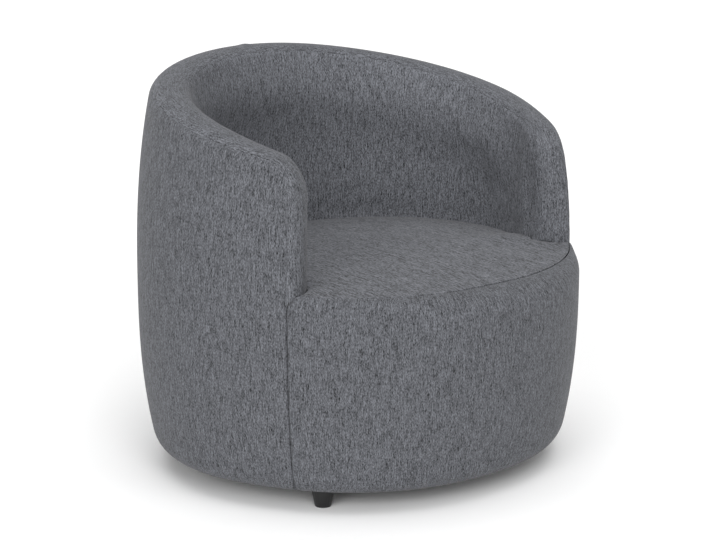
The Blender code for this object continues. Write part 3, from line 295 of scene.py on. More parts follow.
def rim_height(angle):
    """Height of the rim's crest, falling from the back to the arm fronts."""
    share = np.minimum(np.abs(angle) / ARM_END, 1.0) * DROP_TURN
    return BACK_HEIGHT - ARM_DROP * (1.0 - np.cos(share)) / (1.0 - math.cos(DROP_TURN))


ARM_FRONT_TOP = float(rim_height(ARM_END)) - ARM_CORNER_RADIUS


def profile_inset(height, angle=0.0):
    """How far the face lies inside the widest outline at a height."""
    top = rim_height(angle) + LEAN_FOLLOW * (BACK_HEIGHT - rim_height(angle))
    high = TOP_LEAN * (np.maximum(height - WIDEST_HEIGHT, 0.0) / (top - WIDEST_HEIGHT)) ** PROFILE_POWER
    low = np.maximum(WIDEST_HEIGHT - height, 0.0) / (WIDEST_HEIGHT - UNDERSIDE)
    dip = np.clip((LOWER_EDGE_TOP - height) / LOWER_EDGE_HEIGHT, 0.0, 1.0)
    return high + LOWER_TAPER * low ** PROFILE_POWER + LOWER_EDGE_INSET * (1.0 - np.sqrt(1.0 - dip ** 2))


def wall_thickness(angle, height):
    """Thickness of the wall, which thins from the seat up to the rim."""
    share = np.clip((height - SEAT_LEVEL) / (rim_height(angle) - SEAT_LEVEL), 0.0, 1.0)
    return WALL_AT_SEAT + share * (WALL_AT_RIM - WALL_AT_SEAT)


def edge_depth(angle, height):
    """Distance to the wall's free edge along the rim, the arm corner and the arm front."""
    along = (np.abs(angle) - CORNER_START) * ARM_RADIUS
    down = rim_height(angle) - height
    corner = ARM_CORNER_RADIUS - np.hypot(along, np.minimum(down - ARM_CORNER_RADIUS, 0.0))
    return np.where(along <= 0.0, down, corner)


def seam_depth(turn):
    """Depth of the band's seams below the free edge: small on the rim, deeper round the arm front."""
    return SEAM_DEPTH + (FRONT_SEAM_DEPTH - SEAM_DEPTH) * np.sin(turn) ** 2


def seam_distance(angle, height):
    """Distance from a point of a wall panel to the band's seam."""
    along = np.maximum((np.abs(angle) - CORNER_START) * ARM_RADIUS, 0.0)
    up = height - rim_height(angle) + ARM_CORNER_RADIUS
    turn = np.where(up > 0.0, np.arctan2(along, np.maximum(up, 1e-9)), math.pi / 2)
    return edge_depth(angle, height) - seam_depth(turn)


def edge_round(depth, half):
    """How far the rounded edge has drawn in at a depth below the free edge."""
    rise = np.clip((RIM_RADIUS - depth) / RIM_RADIUS, 0.0, 1.0)
    return half * (1.0 - (1.0 - rise ** RIM_POWER) ** (1.0 / RIM_POWER))


def soft_roll(angle, depth):
    """How far the padded inside stands in front of the wall's straight face; less round the arm fronts."""
    share = np.clip((ROLL_END - np.abs(angle)) / ROLL_FADE, 0.0, 1.0)
    share = share ** 2 * (3 - 2 * share)
    deep = (depth / ROLL_DEPTH) ** 2
    roll = share * typed(chair().back_padding) * deep * np.exp(1.0 - deep)
    ease = (1.0 - share) * NOSE_EASE * np.exp(-((depth / NOSE_DEPTH) ** 2))
    return roll - ease


def place(angle, radius, height):
    """World points from plan angles, radii and heights."""
    angle, radius, height = np.broadcast_arrays(angle, radius, height)
    return np.stack([radius * np.sin(angle), radius * np.cos(angle) + ORIGIN_SHIFT, height], axis=-1)


def seam_roll(distance, radius):
    """How far cloth turns in at a distance from a seam."""
    rise = radius - np.clip(distance, 0.0, radius)
    return radius - np.sqrt(np.maximum(radius ** 2 - rise ** 2, 0.0))


def pucker(run, distance):
    """Small uneven tucks that sewing draws into the cloth beside a seam, every 20 to 40 mm along it."""
    wave = np.sin(run / 0.0037 + 1.3 * np.sin(run / 0.021)) + np.sin(run / 0.0063 + 2.1 * np.sin(run / 0.047))
    return PUCKER_DEPTH * (0.5 + 0.25 * wave) * np.exp(-((distance / PUCKER_REACH) ** 2))


def ripple(run):
    """Uneven waves along the cloth, 40 to 80 mm long, between 0 and 1."""
    wave = np.sin(run / 0.0068 + 1.7 * np.sin(run / 0.053)) + np.sin(run / 0.0127 + np.sin(run / 0.081))
    return 0.5 + 0.25 * wave


def groove_radius(height):
    """Radius of the seam down the arm front: fine beside the band, a wide groove beside the seat."""
    return np.where(height < GROOVE_TOP, GROOVE_RADIUS, chair().seam_radius)


# Mesh building

def solid_object(name, points, faces, flat):
    """Mesh object with outward faces and a UV map named cloth, in metres."""
    mesh = bpy.data.meshes.new(name)
    mesh.from_pydata(points.tolist(), [], [tuple(int(k) for k in f) for f in faces])
    layer = mesh.uv_layers.new(name="cloth")
    corner = np.zeros(len(mesh.loops), np.int32)
    mesh.loops.foreach_get("vertex_index", corner)
    layer.data.foreach_set("uv", flat[corner].astype(np.float32).ravel())
    bm = bmesh.new()
    bm.from_mesh(mesh)
    bmesh.ops.recalc_face_normals(bm, faces=bm.faces)
    bm.to_mesh(mesh)
    bm.free()
    mesh.shade_smooth()
    piece = bpy.data.objects.new(name, mesh)
    bpy.context.scene.collection.objects.link(piece)
    return piece


def closed_panel(name, face, back, across, along):
    """Closed body between two grids of points, with the cloth's own lengths as its UV map."""
    rows, columns = face.shape[:2]
    index = np.arange(rows * columns).reshape(rows, columns)
    other = index + rows * columns
    faces = []
    for i in range(rows - 1):
        for j in range(columns - 1):
            faces.append((index[i, j], index[i, j + 1], index[i + 1, j + 1], index[i + 1, j]))
            faces.append((other[i, j], other[i + 1, j], other[i + 1, j + 1], other[i, j + 1]))
        faces.append((index[i, 0], index[i + 1, 0], other[i + 1, 0], other[i, 0]))
        faces.append((index[i, -1], other[i, -1], other[i + 1, -1], index[i + 1, -1]))
    for j in range(columns - 1):
        faces.append((index[0, j], other[0, j], other[0, j + 1], index[0, j + 1]))
        faces.append((index[-1, j], index[-1, j + 1], other[-1, j + 1], other[-1, j]))
    points = np.concatenate([face.reshape(-1, 3), back.reshape(-1, 3)])
    flat = np.stack(np.broadcast_arrays(across, along), axis=-1).reshape(-1, 2)
    return solid_object(name, points, faces, np.concatenate([flat, flat]))


def ring_body(name, rings, low, high):
    """Closed body through rings of points, with a fan at each end and its plan as its UV map."""
    count = len(rings[0])
    faces = []
    for k in range(len(rings) - 1):
        for j in range(count):
            n = (j + 1) % count
            faces.append((k * count + j, k * count + n, (k + 1) * count + n, (k + 1) * count + j))
    first = len(rings) * count
    last = (len(rings) - 1) * count
    for j in range(count):
        n = (j + 1) % count
        faces.append((n, j, first))
        faces.append((last + j, last + n, first + 1))
    points = np.concatenate([*rings, [low, high]])
    return solid_object(name, points, faces, points[:, :2])


def hold(distance):
    """How firmly a point is held at a distance from a seam, from 1 on it to 0 some way off."""
    return np.clip(1.0 - (distance - HELD_WIDTH) / HELD_FADE, 0.0, 1.0) ** 2


def settle(piece, held):
    """Let the cloth settle over its filling under pressure; held is 1 where a point can't move."""
    group = piece.vertex_groups.new(name="held")
    for index in np.nonzero(held > 0.0)[0]:
        group.add([int(index)], float(held[index]), "REPLACE")
    modifier = piece.modifiers.new("settle", "CLOTH")
    cloth = modifier.settings
    cloth.quality = SETTLE_QUALITY
    cloth.mass = CLOTH_MASS
    cloth.tension_stiffness = CLOTH_STIFFNESS
    cloth.compression_stiffness = CLOTH_STIFFNESS
    cloth.bending_stiffness = CLOTH_BENDING
    cloth.use_pressure = True
    cloth.uniform_pressure_force = FILLING_PRESSURE
    cloth.vertex_group_mass = group.name
    cloth.effector_weights.gravity = 0.0
    modifier.collision_settings.use_collision = False
    modifier.point_cache.frame_start = 1
    modifier.point_cache.frame_end = SETTLE_FRAMES
    for step in range(1, SETTLE_FRAMES + 1):
        bpy.context.scene.frame_set(step)
    evaluated = piece.evaluated_get(bpy.context.evaluated_depsgraph_get())
    after = np.zeros(3 * len(held))
    before = np.zeros(3 * len(held))
    evaluated.data.vertices.foreach_get("co", after)
    piece.data.vertices.foreach_get("co", before)
    piece.modifiers.remove(modifier)
    piece.vertex_groups.remove(group)
    bpy.context.scene.frame_set(1)
    move = (after - before).reshape(-1, 3)
    length = np.linalg.norm(move, axis=1, keepdims=True)
    move = move * SETTLE_CAP / (SETTLE_CAP + length)
    piece.data.vertices.foreach_set("co", before + move.ravel())
    piece.data.update()


def finish_piece(piece, material, nodes):
    """Hand a finished piece to the frame."""
    piece.data.materials.clear()
    piece.data.materials.append(material)
    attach(piece, "root")
    if nodes:
        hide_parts(*nodes)


# Spacing of rows and columns

def graded(end):
    """Distances from a seam, close at first, out to a value."""
    return np.array([d for d in SEAM_STEPS if d < end * 0.9] + [end])


def main_columns():
    """Angles of the columns between the two arm corners."""
    count = int(round(2 * CORNER_START * WALL_RADIUS / chair().grid))
    return np.linspace(-CORNER_START, CORNER_START, count + 1)


def wall_columns():
    """Angles and top heights of the columns of a wall panel, from seam to seam."""
    main = main_columns()
    turn = np.radians(CORNER_TURNS)
    reach = ARM_CORNER_RADIUS - seam_depth(turn)
    corner = CORNER_START + reach * np.sin(turn) / ARM_RADIUS
    top = rim_height(corner) - ARM_CORNER_RADIUS + reach * np.cos(turn)
    angles = np.concatenate([-corner[::-1], main, corner])
    tops = np.concatenate([top[::-1], rim_height(main) - SEAM_DEPTH, top])
    return angles, tops


def column_rows(low, top):
    """Heights of a wall column's rows from a level to its top, graded below the top seam."""
    near = top - graded(SEAM_ZONE)[::-1]
    tallest = BACK_HEIGHT - SEAM_DEPTH - SEAM_ZONE - low
    count = max(2, int(round(tallest / chair().grid)))
    return np.concatenate([np.linspace(low, near[0], count + 1)[:-1], near])


def front_columns():
    """Angles of the seat front's columns, graded beside both arm fronts."""
    end = graded(SEAM_ZONE) / ARM_RADIUS
    count = int(round(FRONT_LENGTH / chair().grid))
    main = np.linspace(EAR_ANGLE + end[-1], FAR_EAR - end[-1], count)
    return np.concatenate([EAR_ANGLE + end[:-1], main, (FAR_EAR - end[:-1])[::-1]])


def hem_rows(insets, levels, depth):
    """Insets and heights of the turned hem and the rounded lower edge, at a depth inside the cloth's face."""
    turn = np.radians(np.arange(90, 0, -12))
    height = LOWER_EDGE_TOP - LOWER_EDGE_HEIGHT * np.sin(turn)
    return np.concatenate([insets, profile_inset(height) + depth]), np.concatenate([levels, height])


def hem_face():
    """Insets and heights of the hem's outer face."""
    levels = (HEM_LEVEL, HEM_LEVEL, HEM_LEVEL - HEM_SAG, UNDERSIDE + CLEARANCE)
    return hem_rows(HEM_FACE_INSETS, levels, 0.0)


def hem_back():
    """Insets and heights of the hem's hidden back, which lies flat against the base."""
    inset, level = hem_rows(HEM_BACK_INSETS, (HEM_TOP,) * 4, FOAM_BACK)
    return inset, np.maximum(level, HEM_TOP)


def running_length(points):
    """Length along a row of points, from its first."""
    return np.concatenate([[0.0], np.cumsum(np.linalg.norm(np.diff(points, axis=0), axis=1))])


def centred_length(points):
    """Length along a row of points, from its middle one."""
    run = running_length(points)
    return run - run[len(run) // 2]


def plan_length(angle, radius):
    """Length along a plan curve, from its middle column."""
    return centred_length(place(angle, radius, 0.0)[:, :2])


def column(angle, outline, insets, levels):
    """Points of one column, from parts that follow each other up the panel."""
    return place(angle, outline - np.concatenate(insets), np.concatenate(levels))


def as_grid(columns):
    """Grid of rows from a list of columns."""
    return np.swapaxes(np.array(columns), 0, 1)


# Wall panels

def outer_wall():
    """Outside of the back and arms, from the turned hem to the band's outer seam."""
    angles, tops = wall_columns()
    face_hem, face_levels = hem_face()
    back_hem, back_levels = hem_back()
    face, back = [], []
    for angle, top in zip(angles, tops):
        heights = column_rows(LOWER_EDGE_TOP, top)
        half = wall_thickness(angle, heights) / 2
        away = seam_distance(angle, heights)
        inset = profile_inset(heights, angle)
        draw = inset + edge_round(edge_depth(angle, heights), half) + seam_roll(away, groove_radius(heights))
        draw = draw + pucker(WALL_RADIUS * angle + heights, away)
        low_edge = edge_round(edge_depth(angle, LOWER_EDGE_TOP), half[0])
        hem = face_hem + low_edge + seam_roll(seam_distance(angle, LOWER_EDGE_TOP), GROOVE_RADIUS)
        outline = wall_outline(angle)
        face.append(column(angle, outline, (hem, draw), (face_levels, heights)))
        hem = np.maximum(back_hem, hem + HEM_GAP)
        back.append(column(angle, outline, (hem, inset + FOAM_BACK), (back_levels, heights)))
    along = as_grid([running_length(points) for points in face])
    across = plan_length(angles, wall_outline(angles))
    return closed_panel("outside_wall", as_grid(face), as_grid(back), across, along)


def inner_wall():
    """Inside of the back and arms, from below the seat to the band's inner seam."""
    angles, tops = wall_columns()
    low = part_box("inner_cover")[0].z
    face, back = [], []
    for angle, top in zip(angles, tops):
        heights = column_rows(low, top)
        depth = edge_depth(angle, heights)
        thick = wall_thickness(angle, heights)
        inset = profile_inset(heights, angle)
        draw = inset + thick - edge_round(depth, thick / 2) + soft_roll(angle, depth)
        draw = draw - seam_roll(seam_distance(angle, heights), INNER_SEAM_RADIUS)
        outline = wall_outline(angle)
        face.append(place(angle, outline - draw, heights))
        back.append(place(angle, outline - inset - INNER_FOAM_FACE, heights))
    face = as_grid(face)
    heights = face[..., 2]
    across = plan_length(angles, wall_outline(angles) - WALL_AT_SEAT)
    piece = closed_panel("inside_wall", face, as_grid(back), across, heights)
    held = np.maximum(hold(seam_distance(angles, heights)), hold(heights - SEAT_LEVEL))
    settle(piece, np.concatenate([held.ravel(), np.ones(held.size)]))
    return piece


# Band over the rim and the arm fronts

def band_section(depth):
    """Across the band down to its seams: lengths, position from -1 to 1, rise, and how the seams roll in."""
    turn = np.linspace(0.0, math.pi, 2001)
    x = -np.sign(np.cos(turn)) * np.abs(np.cos(turn)) ** (2 / RIM_POWER)
    y = np.sin(turn) ** (2 / RIM_POWER)
    keep = y >= 1.0 - depth / RIM_RADIUS
    x, y = x[keep], y[keep]
    run = running_length(np.column_stack([x * BAND_HALF, y * RIM_RADIUS]))
    near = graded(BAND_SEAM_ZONE)
    middle = np.linspace(near[-1], run[-1] - near[-1], BAND_ROWS)[1:-1]
    spots = np.concatenate([near, middle, run[-1] - near[::-1]])
    x, y = np.interp(spots, run, x), np.interp(spots, run, y)
    dx = np.gradient(x * BAND_HALF, spots)
    dy = np.gradient(y * RIM_RADIUS, spots)
    radius = np.where(x > 0.0, INNER_SEAM_RADIUS, chair().seam_radius)
    roll = seam_roll(np.minimum(spots, run[-1] - spots), radius) / np.hypot(dx, dy)
    return spots, x, y, dy * roll, -dx * roll


def band_stations():
    """Stations along the band: plan angle, height of the corner's centre, and turn round the corner."""
    rows = int(round((ARM_FRONT_TOP - BAND_FOOT) / chair().grid))
    front = np.linspace(BAND_FOOT, ARM_FRONT_TOP, rows + 1)[:-1]
    side = [(CORNER_START, height, math.pi / 2) for height in front]
    corner_base = float(rim_height(CORNER_START)) - ARM_CORNER_RADIUS
    for turn in np.radians(np.linspace(90, 0, 13))[:-1]:
        rise = math.sin(turn)
        side.append((CORNER_START, ARM_FRONT_TOP * rise + corner_base * (1 - rise), turn))
    main = main_columns()
    joint = BAND_JOINT + np.concatenate([-JOINT_STEPS[:0:-1], JOINT_STEPS]) / WALL_RADIUS
    main = np.sort(np.concatenate([main[np.abs(main - BAND_JOINT) > JOINT_ZONE / WALL_RADIUS], joint]))
    rim = [(angle, float(rim_height(angle)) - ARM_CORNER_RADIUS, 0.0) for angle in main]
    return [(-angle, height, turn) for angle, height, turn in side] + rim + side[::-1]


def joint_lump(angle):
    """How far the joint's seam allowance lifts the band, and its seam sinks it."""
    off = abs(angle - BAND_JOINT) * WALL_RADIUS
    tuck = JOINT_TUCK * seam_roll(off, chair().seam_radius)
    return JOINT_LUMP * math.exp(-((off / JOINT_WIDTH) ** 2)) - tuck


def round_corner(angle, level, turn, depth):
    """Plan angle and height of a point of the band at a depth below its free edge."""
    reach = ARM_CORNER_RADIUS - depth
    sign = -1.0 if angle < 0 else 1.0
    return angle + sign * reach * math.sin(turn) / ARM_RADIUS, level + reach * math.cos(turn)


def padded_inset(angle, height, depth, x):
    """Inset of the wall's face, with the share of the inside's soft roll at a position across the band."""
    return profile_inset(height, angle) + np.clip(x / x[-1], 0.0, 1.0) * soft_roll(angle, depth)


def meet_seat(points):
    """Points on the arm front, run down at the foot to meet the seat and its rolled front edge."""
    share = np.clip((ARM_FRONT_TOP - points[:, 2]) / (ARM_FRONT_TOP - BAND_FOOT), 0.0, 1.0)
    foot = seat_surface(points) + CLEARANCE
    return np.column_stack([points[:, :2], points[:, 2] + share * (foot - BAND_FOOT)])


def rim_band():
    """Band over the rim and down both arm fronts, between its two seams."""
    face, back = [], []
    for angle, level, turn in band_stations():
        seam = float(seam_depth(turn))
        spots, x, y, push, sink = band_section(seam)
        depth = RIM_RADIUS * (1.0 - y) - sink - joint_lump(angle) * np.sin(math.pi * spots / spots[-1])
        around, height = round_corner(angle, level, turn, depth)
        tuck = pucker(BAND_RADIUS * around + height, np.minimum(spots, spots[-1] - spots))
        half = wall_thickness(around, height) / 2
        inset = padded_inset(around, height, depth, x) + half * (1.0 + x) + push
        inset = inset + np.where(x < 0.0, tuck, 0.0)
        face.append(meet_seat(place(around, wall_outline(around) - inset, height)))
        depth = seam + BAND_BACK_GAP
        around, height = round_corner(angle, level, turn, depth)
        inset = padded_inset(around, height, depth, x) + half * (1.0 + BAND_BACK_SPREAD * x)
        back.append(meet_seat(place(around, wall_outline(around) - inset, height)))
    face = as_grid(face)
    along = centred_length(face[len(face) // 2])
    return closed_panel("rim_and_arm_band", face, as_grid(back), spots[:, None] + BAND_YARN_START, along)


# Seat

def wall_side(angle, height):
    """Seat's side against the inside wall."""
    inset = profile_inset(height, angle) + wall_thickness(angle, height) + CLEARANCE
    inset = inset + soft_roll(angle, edge_depth(angle, height))
    return place(angle, wall_outline(angle) - inset, height)


def arm_reach(inset):
    """How far the arm front's rounded nose reaches short of its free edge, by distance across the wall."""
    side = np.clip(np.abs(inset / (WALL_AT_SEAT / 2) - 1.0), 0.0, 1.0)
    return RIM_RADIUS * (1.0 - (1.0 - side ** RIM_POWER) ** (1.0 / RIM_POWER))


def tuck_line():
    """Plan points where the seat top dives beside the wall and round the noses of the arm fronts."""
    wall = wall_side(np.linspace(-EAR_ANGLE, EAR_ANGLE, 400), SEAT_LEVEL)[:, :2]
    inset = WALL_AT_SEAT / 2 * (1.0 + np.cos(np.linspace(0.0, math.pi, 60)))
    depth = np.minimum(arm_reach(inset), FRONT_SEAM_DEPTH)
    angle = ARM_END - depth / ARM_RADIUS
    inset = inset + np.clip(2.0 * inset / WALL_AT_SEAT - 1.0, 0.0, 1.0) * soft_roll(angle, depth)
    right = place(angle, wall_outline(angle) - inset, 0.0)[:, :2]
    left = right * (-1.0, 1.0)
    return np.concatenate([left[::-1], wall, right])


def under_arm(points):
    """Whether plan points lie under the nose of an arm front."""
    x, y = np.abs(points[..., 0]), points[..., 1] - ORIGIN_SHIFT
    angle = np.arctan2(x, y)
    inset = wall_outline(angle) - np.hypot(x, y)
    depth = (ARM_END - angle) * ARM_RADIUS
    half = WALL_AT_SEAT / 2
    eased = half + (inset - half) * half / (half + soft_roll(angle, np.abs(depth)))
    inset = np.where(inset > half, eased, inset)
    across = (inset > -ARM_FOOT_MARGIN) & (inset < WALL_AT_SEAT + ARM_FOOT_SLACK)
    return across & (depth < FRONT_SEAM_DEPTH) & (depth > arm_reach(inset))


def seat_dome(points):
    """Height of the seat's crown over plan points."""
    across = np.maximum(0.0, 1.0 - (points[..., 0] / CROWN_HALF_WIDTH) ** 2)
    y = points[..., 1] - ORIGIN_SHIFT - CROWN_MIDDLE
    along = np.maximum(0.0, 1.0 - (y / CROWN_HALF_DEPTH) ** 2)
    return SEAT_EDGE_HEIGHT + typed(chair().seat_crown) * across * along


def seat_height(points):
    """Finished height of the seat top: its crown, dipped beside the wall and lifted beside the arm fronts."""
    line = tuck_line()
    least = [np.min(np.hypot(*(line - spot).T)) for spot in points.reshape(-1, 2)]
    covered = under_arm(points)
    least = np.where(covered, 0.0, np.array(least).reshape(points.shape[:-1]))
    angle = np.arctan2(np.abs(points[..., 0]), points[..., 1] - ORIGIN_SHIFT)
    off = (angle - EAR_ANGLE + ARM_LIFT_PLACE) / ARM_LIFT_SPREAD
    lift = ARM_LIFT * np.exp(-(off ** 2) - (least / ARM_LIFT_REACH) ** 2)
    by_arm = np.clip((angle - ARM_DIP_START) / ARM_DIP_FADE, 0.0, 1.0)
    fade = np.maximum(0.0, 1.0 - least / (DIP_WIDTH * (1.0 - ARM_DIP_NARROWING * by_arm)))
    dip = (WALL_DIP + (ARM_DIP - WALL_DIP) * by_arm) * fade ** 2
    return seat_dome(points) + np.where(covered, 0.0, lift) - dip


def from_ear(angle, at_ear, in_middle):
    """Value along the seat front that eases from the ears, its ends beside the arms, to the middle."""
    away = np.abs(angle % (2 * math.pi) - math.pi)
    share = np.clip((math.pi - EAR_ANGLE - away) / (math.pi - EAR_ANGLE), 0.0, 1.0)
    return in_middle + (at_ear - in_middle) * (1.0 - share) ** EAR_POWER


def seam_inset(angle):
    """Distance of the seat's front seam inside the front outline."""
    return from_ear(angle, EAR_SEAM_INSET, FRONT_SEAM_INSET)


def roll_start(angle):
    """Height at which the seat front starts to roll over."""
    return from_ear(angle, EAR_ROLL_START, FRONT_ROLL_START)


def seam_height(angle):
    """Height of the seat's front seam."""
    return seat_height(place(angle, front_outline(angle) - seam_inset(angle), 0.0)[..., :2])


def seat_surface(points):
    """Finished height of the seat at plan points: its top, or its rolled front edge."""
    angle = np.arctan2(points[:, 0], points[:, 1] - ORIGIN_SHIFT) % (2 * math.pi)
    radius = np.hypot(points[:, 0], points[:, 1] - ORIGIN_SHIFT)
    inset = np.maximum(front_outline(angle) - radius, 0.0)
    rise = np.sin(np.arccos(np.clip(1.0 - inset / seam_inset(angle), 0.0, 1.0)))
    start = roll_start(angle)
    roll = start + (seam_height(angle) - start) * rise
    return np.where(inset < seam_inset(angle), roll, seat_height(points[:, :2]))


def seat_outline():
    """Plan points round the seat's edge, and which of them lie on its front seam."""
    wall = np.linspace(-EAR_ANGLE, EAR_ANGLE, int(round(2 * EAR_ANGLE * SEAT_RADIUS / chair().grid)) + 1)
    front = np.linspace(EAR_ANGLE, FAR_EAR, int(round(FRONT_LENGTH / chair().grid)) + 1)
    ear_wall = wall_side(EAR_ANGLE, SEAT_LEVEL)[:2]
    ear_front = place(EAR_ANGLE, front_outline(EAR_ANGLE) - EAR_SEAM_INSET, 0.0)[:2]
    ear = ear_wall + (ear_front - ear_wall) * np.linspace(0.0, 1.0, 10)[1:-1, None]
    seam = place(front, front_outline(front) - seam_inset(front), 0.0)[:, :2]
    parts = (wall_side(wall, SEAT_LEVEL)[:, :2], ear, seam, (ear * (-1.0, 1.0))[::-1])
    on_seam = np.concatenate([np.full(len(part), part is seam) for part in parts])
    return np.concatenate(parts), on_seam


def seat_top():
    """Seat: crowned cloth over foam, down to the spring deck."""
    edge, on_seam = seat_outline()
    middle = np.array([0.0, SEAT_MIDDLE + ORIGIN_SHIFT])
    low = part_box("seat_foam")[0].z + SEAT_DECK_GAP
    deck = edge + (middle - edge) * SEAT_DECK_SHARE
    rings = []
    for share, level in (*((share, low) for share in SEAT_DECK_RINGS), (0.0, SEAT_SIDE_FOOT)):
        ring = deck + (middle - deck) * share
        rings.append(np.column_stack([ring, np.full(len(ring), level)]))
    held = [np.ones(len(rings) * len(edge))]
    for share in np.concatenate([graded(SEAM_ZONE) / SEAT_RING_REACH, SEAT_TOP_RINGS]):
        ring = edge + (middle - edge) * share
        distance = share * np.linalg.norm(middle - edge, axis=1)
        tuck = seam_roll(distance, chair().seam_radius) + pucker(SEAT_RUN * ring[:, 0], distance)
        rings.append(np.column_stack([ring, seat_height(ring) - np.where(on_seam, tuck, 0.0)]))
        held.append(hold(distance))
    top = float(seat_height(middle))
    piece = ring_body("seat", rings, np.array([*middle, low]), np.array([*middle, top]))
    settle(piece, np.concatenate([*held, [1.0, 0.0]]))
    return piece


# Seat front

def roll_turns():
    """Turns up the rolled edge, from upright to just short of the seam, closer beside the seam."""
    turns = math.pi / 2 * (1 - graded(FRONT_ROLL_ARC)[::-1] / FRONT_ROLL_ARC)
    turns = np.concatenate([np.linspace(0.0, turns[1], 8), turns[2:]])[1:]
    return np.minimum(turns, math.acos(2 * CLEARANCE / EAR_SEAM_INSET))


def roll_points(angle, turn, depth, seam):
    """Insets and heights up the rolled edge of the seat front, at a depth inside its face."""
    start = roll_start(angle)
    inset = seam_inset(angle) * (1.0 - np.cos(turn)) + (depth + profile_inset(start)) * np.cos(turn)
    return inset, start + (seam - start - depth) * np.sin(turn)


def seat_front():
    """Seat front: hem, upright face and rolled top edge up to the seat's seam."""
    angles = front_columns()
    turns = roll_turns()
    near = FRONT_ROLL_ARC * (1.0 - turns / (math.pi / 2))
    bump = RIPPLE_DEPTH * np.exp(-(((near - RIPPLE_PLACE) / RIPPLE_REACH) ** 2))
    face_hem, face_levels = hem_face()
    back_hem, back_levels = hem_back()
    rows = int(round(FRONT_FACE_HEIGHT / chair().grid)) + 1
    face, back = [], []
    for angle in angles:
        gap = min(angle - EAR_ANGLE, FAR_EAR - angle) * ARM_RADIUS
        side = seam_roll(gap, GROOVE_RADIUS) + pucker(0.0, gap)
        heights = np.linspace(LOWER_EDGE_TOP, float(roll_start(angle)), rows)
        seam = float(seam_height(angle))
        run = FRONT_RADIUS * angle
        dip = seam_roll(near, chair().seam_radius) + pucker(run, near) + bump * ripple(run)
        outline = float(front_outline(angle))
        roll, levels = roll_points(angle, turns, dip + side, seam)
        insets = (face_hem + side, profile_inset(heights) + side, roll)
        face.append(column(angle, outline, insets, (face_levels, heights, levels)))
        roll, levels = roll_points(angle, turns, FOAM_BACK, seam)
        insets = (np.maximum(back_hem, face_hem + side + HEM_GAP), profile_inset(heights) + FOAM_BACK, roll)
        back.append(column(angle, outline, insets, (back_levels, heights, levels)))
    along = as_grid([running_length(points) for points in face])
    across = plan_length(angles, front_outline(angles)) + FRONT_YARN_START
    return closed_panel("seat_front_panel", as_grid(face), as_grid(back), across, along)


# Under the chair

def base_line(inset, step):
    """Plan points round the chair's underside, a distance inside the outline."""
    wall = np.linspace(-EAR_ANGLE, EAR_ANGLE, int(round(WALL_LENGTH / step)))[1:-1]
    front = np.linspace(EAR_ANGLE, FAR_EAR, int(round(FRONT_LENGTH / step)))[1:-1]
    return np.concatenate([
        place(wall, wall_outline(wall) - inset, 0.0)[:, :2],
        place(front, front_outline(front) - inset, 0.0)[:, :2],
    ])


def foot_spots():
    """Plan centres of the four feet, from their boxes."""
    boxes = [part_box(name) for name in sorted(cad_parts) if name.startswith("foot_")]
    return [np.array([(low.x + high.x) / 2, (low.y + high.y) / 2]) for low, high in boxes]


def inside(points, loop):
    """Whether plan points lie inside a closed loop."""
    count = np.zeros(len(points), int)
    for (x0, y0), (x1, y1) in zip(loop, np.roll(loop, -1, axis=0)):
        crosses = (y0 > points[:, 1]) != (y1 > points[:, 1])
        at = x0 + (points[:, 1] - y0) / (y1 - y0 + 1e-15) * (x1 - x0)
        count += crosses & (points[:, 0] < at)
    return count % 2 == 1


def filled_outline(edge, holes):
    """Plan points and triangles that fill an outline round its holes."""
    steps = np.arange(-SHEET_EXTENT, SHEET_EXTENT, SHEET_GRID)
    grid = np.stack(np.meshgrid(steps, steps), axis=-1).reshape(-1, 2)
    grid = grid + SHEET_GRID_STIR * np.sin(grid[:, ::-1] * 171.0)
    near = np.array([min(np.hypot(*(loop - spot).T).min() for loop in (edge, *holes)) for spot in grid])
    grid = grid[(near > SHEET_EDGE_GAP) & inside(grid, edge)]
    points, lines = [], []
    for loop in (edge, *holes):
        first = len(points)
        points += [Vector(p) for p in loop]
        lines += [(first + k, first + (k + 1) % len(loop)) for k in range(len(loop))]
    points += [Vector(p) for p in grid]
    flat, _, faces, *_ = delaunay_2d_cdt(points, lines, [], 1, 1e-7)
    flat = np.array([tuple(p) for p in flat])
    centres = np.array([flat[list(face)].mean(axis=0) for face in faces])
    keep = inside(centres, edge)
    for hole in holes:
        keep &= ~inside(centres, hole)
    return flat, [tuple(face) for face, kept in zip(faces, keep) if kept]


def dust_cover():
    """Stretched nonwoven sheet under the chair, with a hole for each foot's bolt; its extent and area too."""
    edge = base_line(SHEET_INSET, SHEET_STEP)
    turn = np.linspace(0.0, 2 * math.pi, 17)[:-1]
    holes = [spot + BOLT_HOLE * np.stack([np.cos(turn), np.sin(turn)], axis=-1) for spot in foot_spots()]
    flat, faces = filled_outline(edge, holes)
    wave = np.sin(flat[:, 0] * 61 + 1.7 * np.sin(flat[:, 1] * 37)) * np.sin(flat[:, 1] * 53)
    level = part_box("dust_cover")[1].z - SHEET_FACE_GAP + SHEET_WAVE * wave
    top = np.column_stack([flat, level])
    bottom = np.column_stack([flat, level - SHEET_THICKNESS])
    count = len(flat)
    edges = {(a, b): None for face in faces for a, b in zip(face, face[1:] + face[:1])}
    sides = [(a, b, b + count, a + count) for a, b in edges if (b, a) not in edges]
    under = [tuple(k + count for k in reversed(face)) for face in faces]
    points = np.concatenate([top, bottom])
    piece = solid_object("dust_cover_sheet", points, faces + under + sides, points[:, :2])
    size = flat.max(axis=0) - flat.min(axis=0)
    ring = np.append(edge, edge[:1], axis=0)
    area = abs(float(np.sum(ring[:-1, 0] * ring[1:, 1] - ring[1:, 0] * ring[:-1, 1]))) / 2
    return piece, size, area


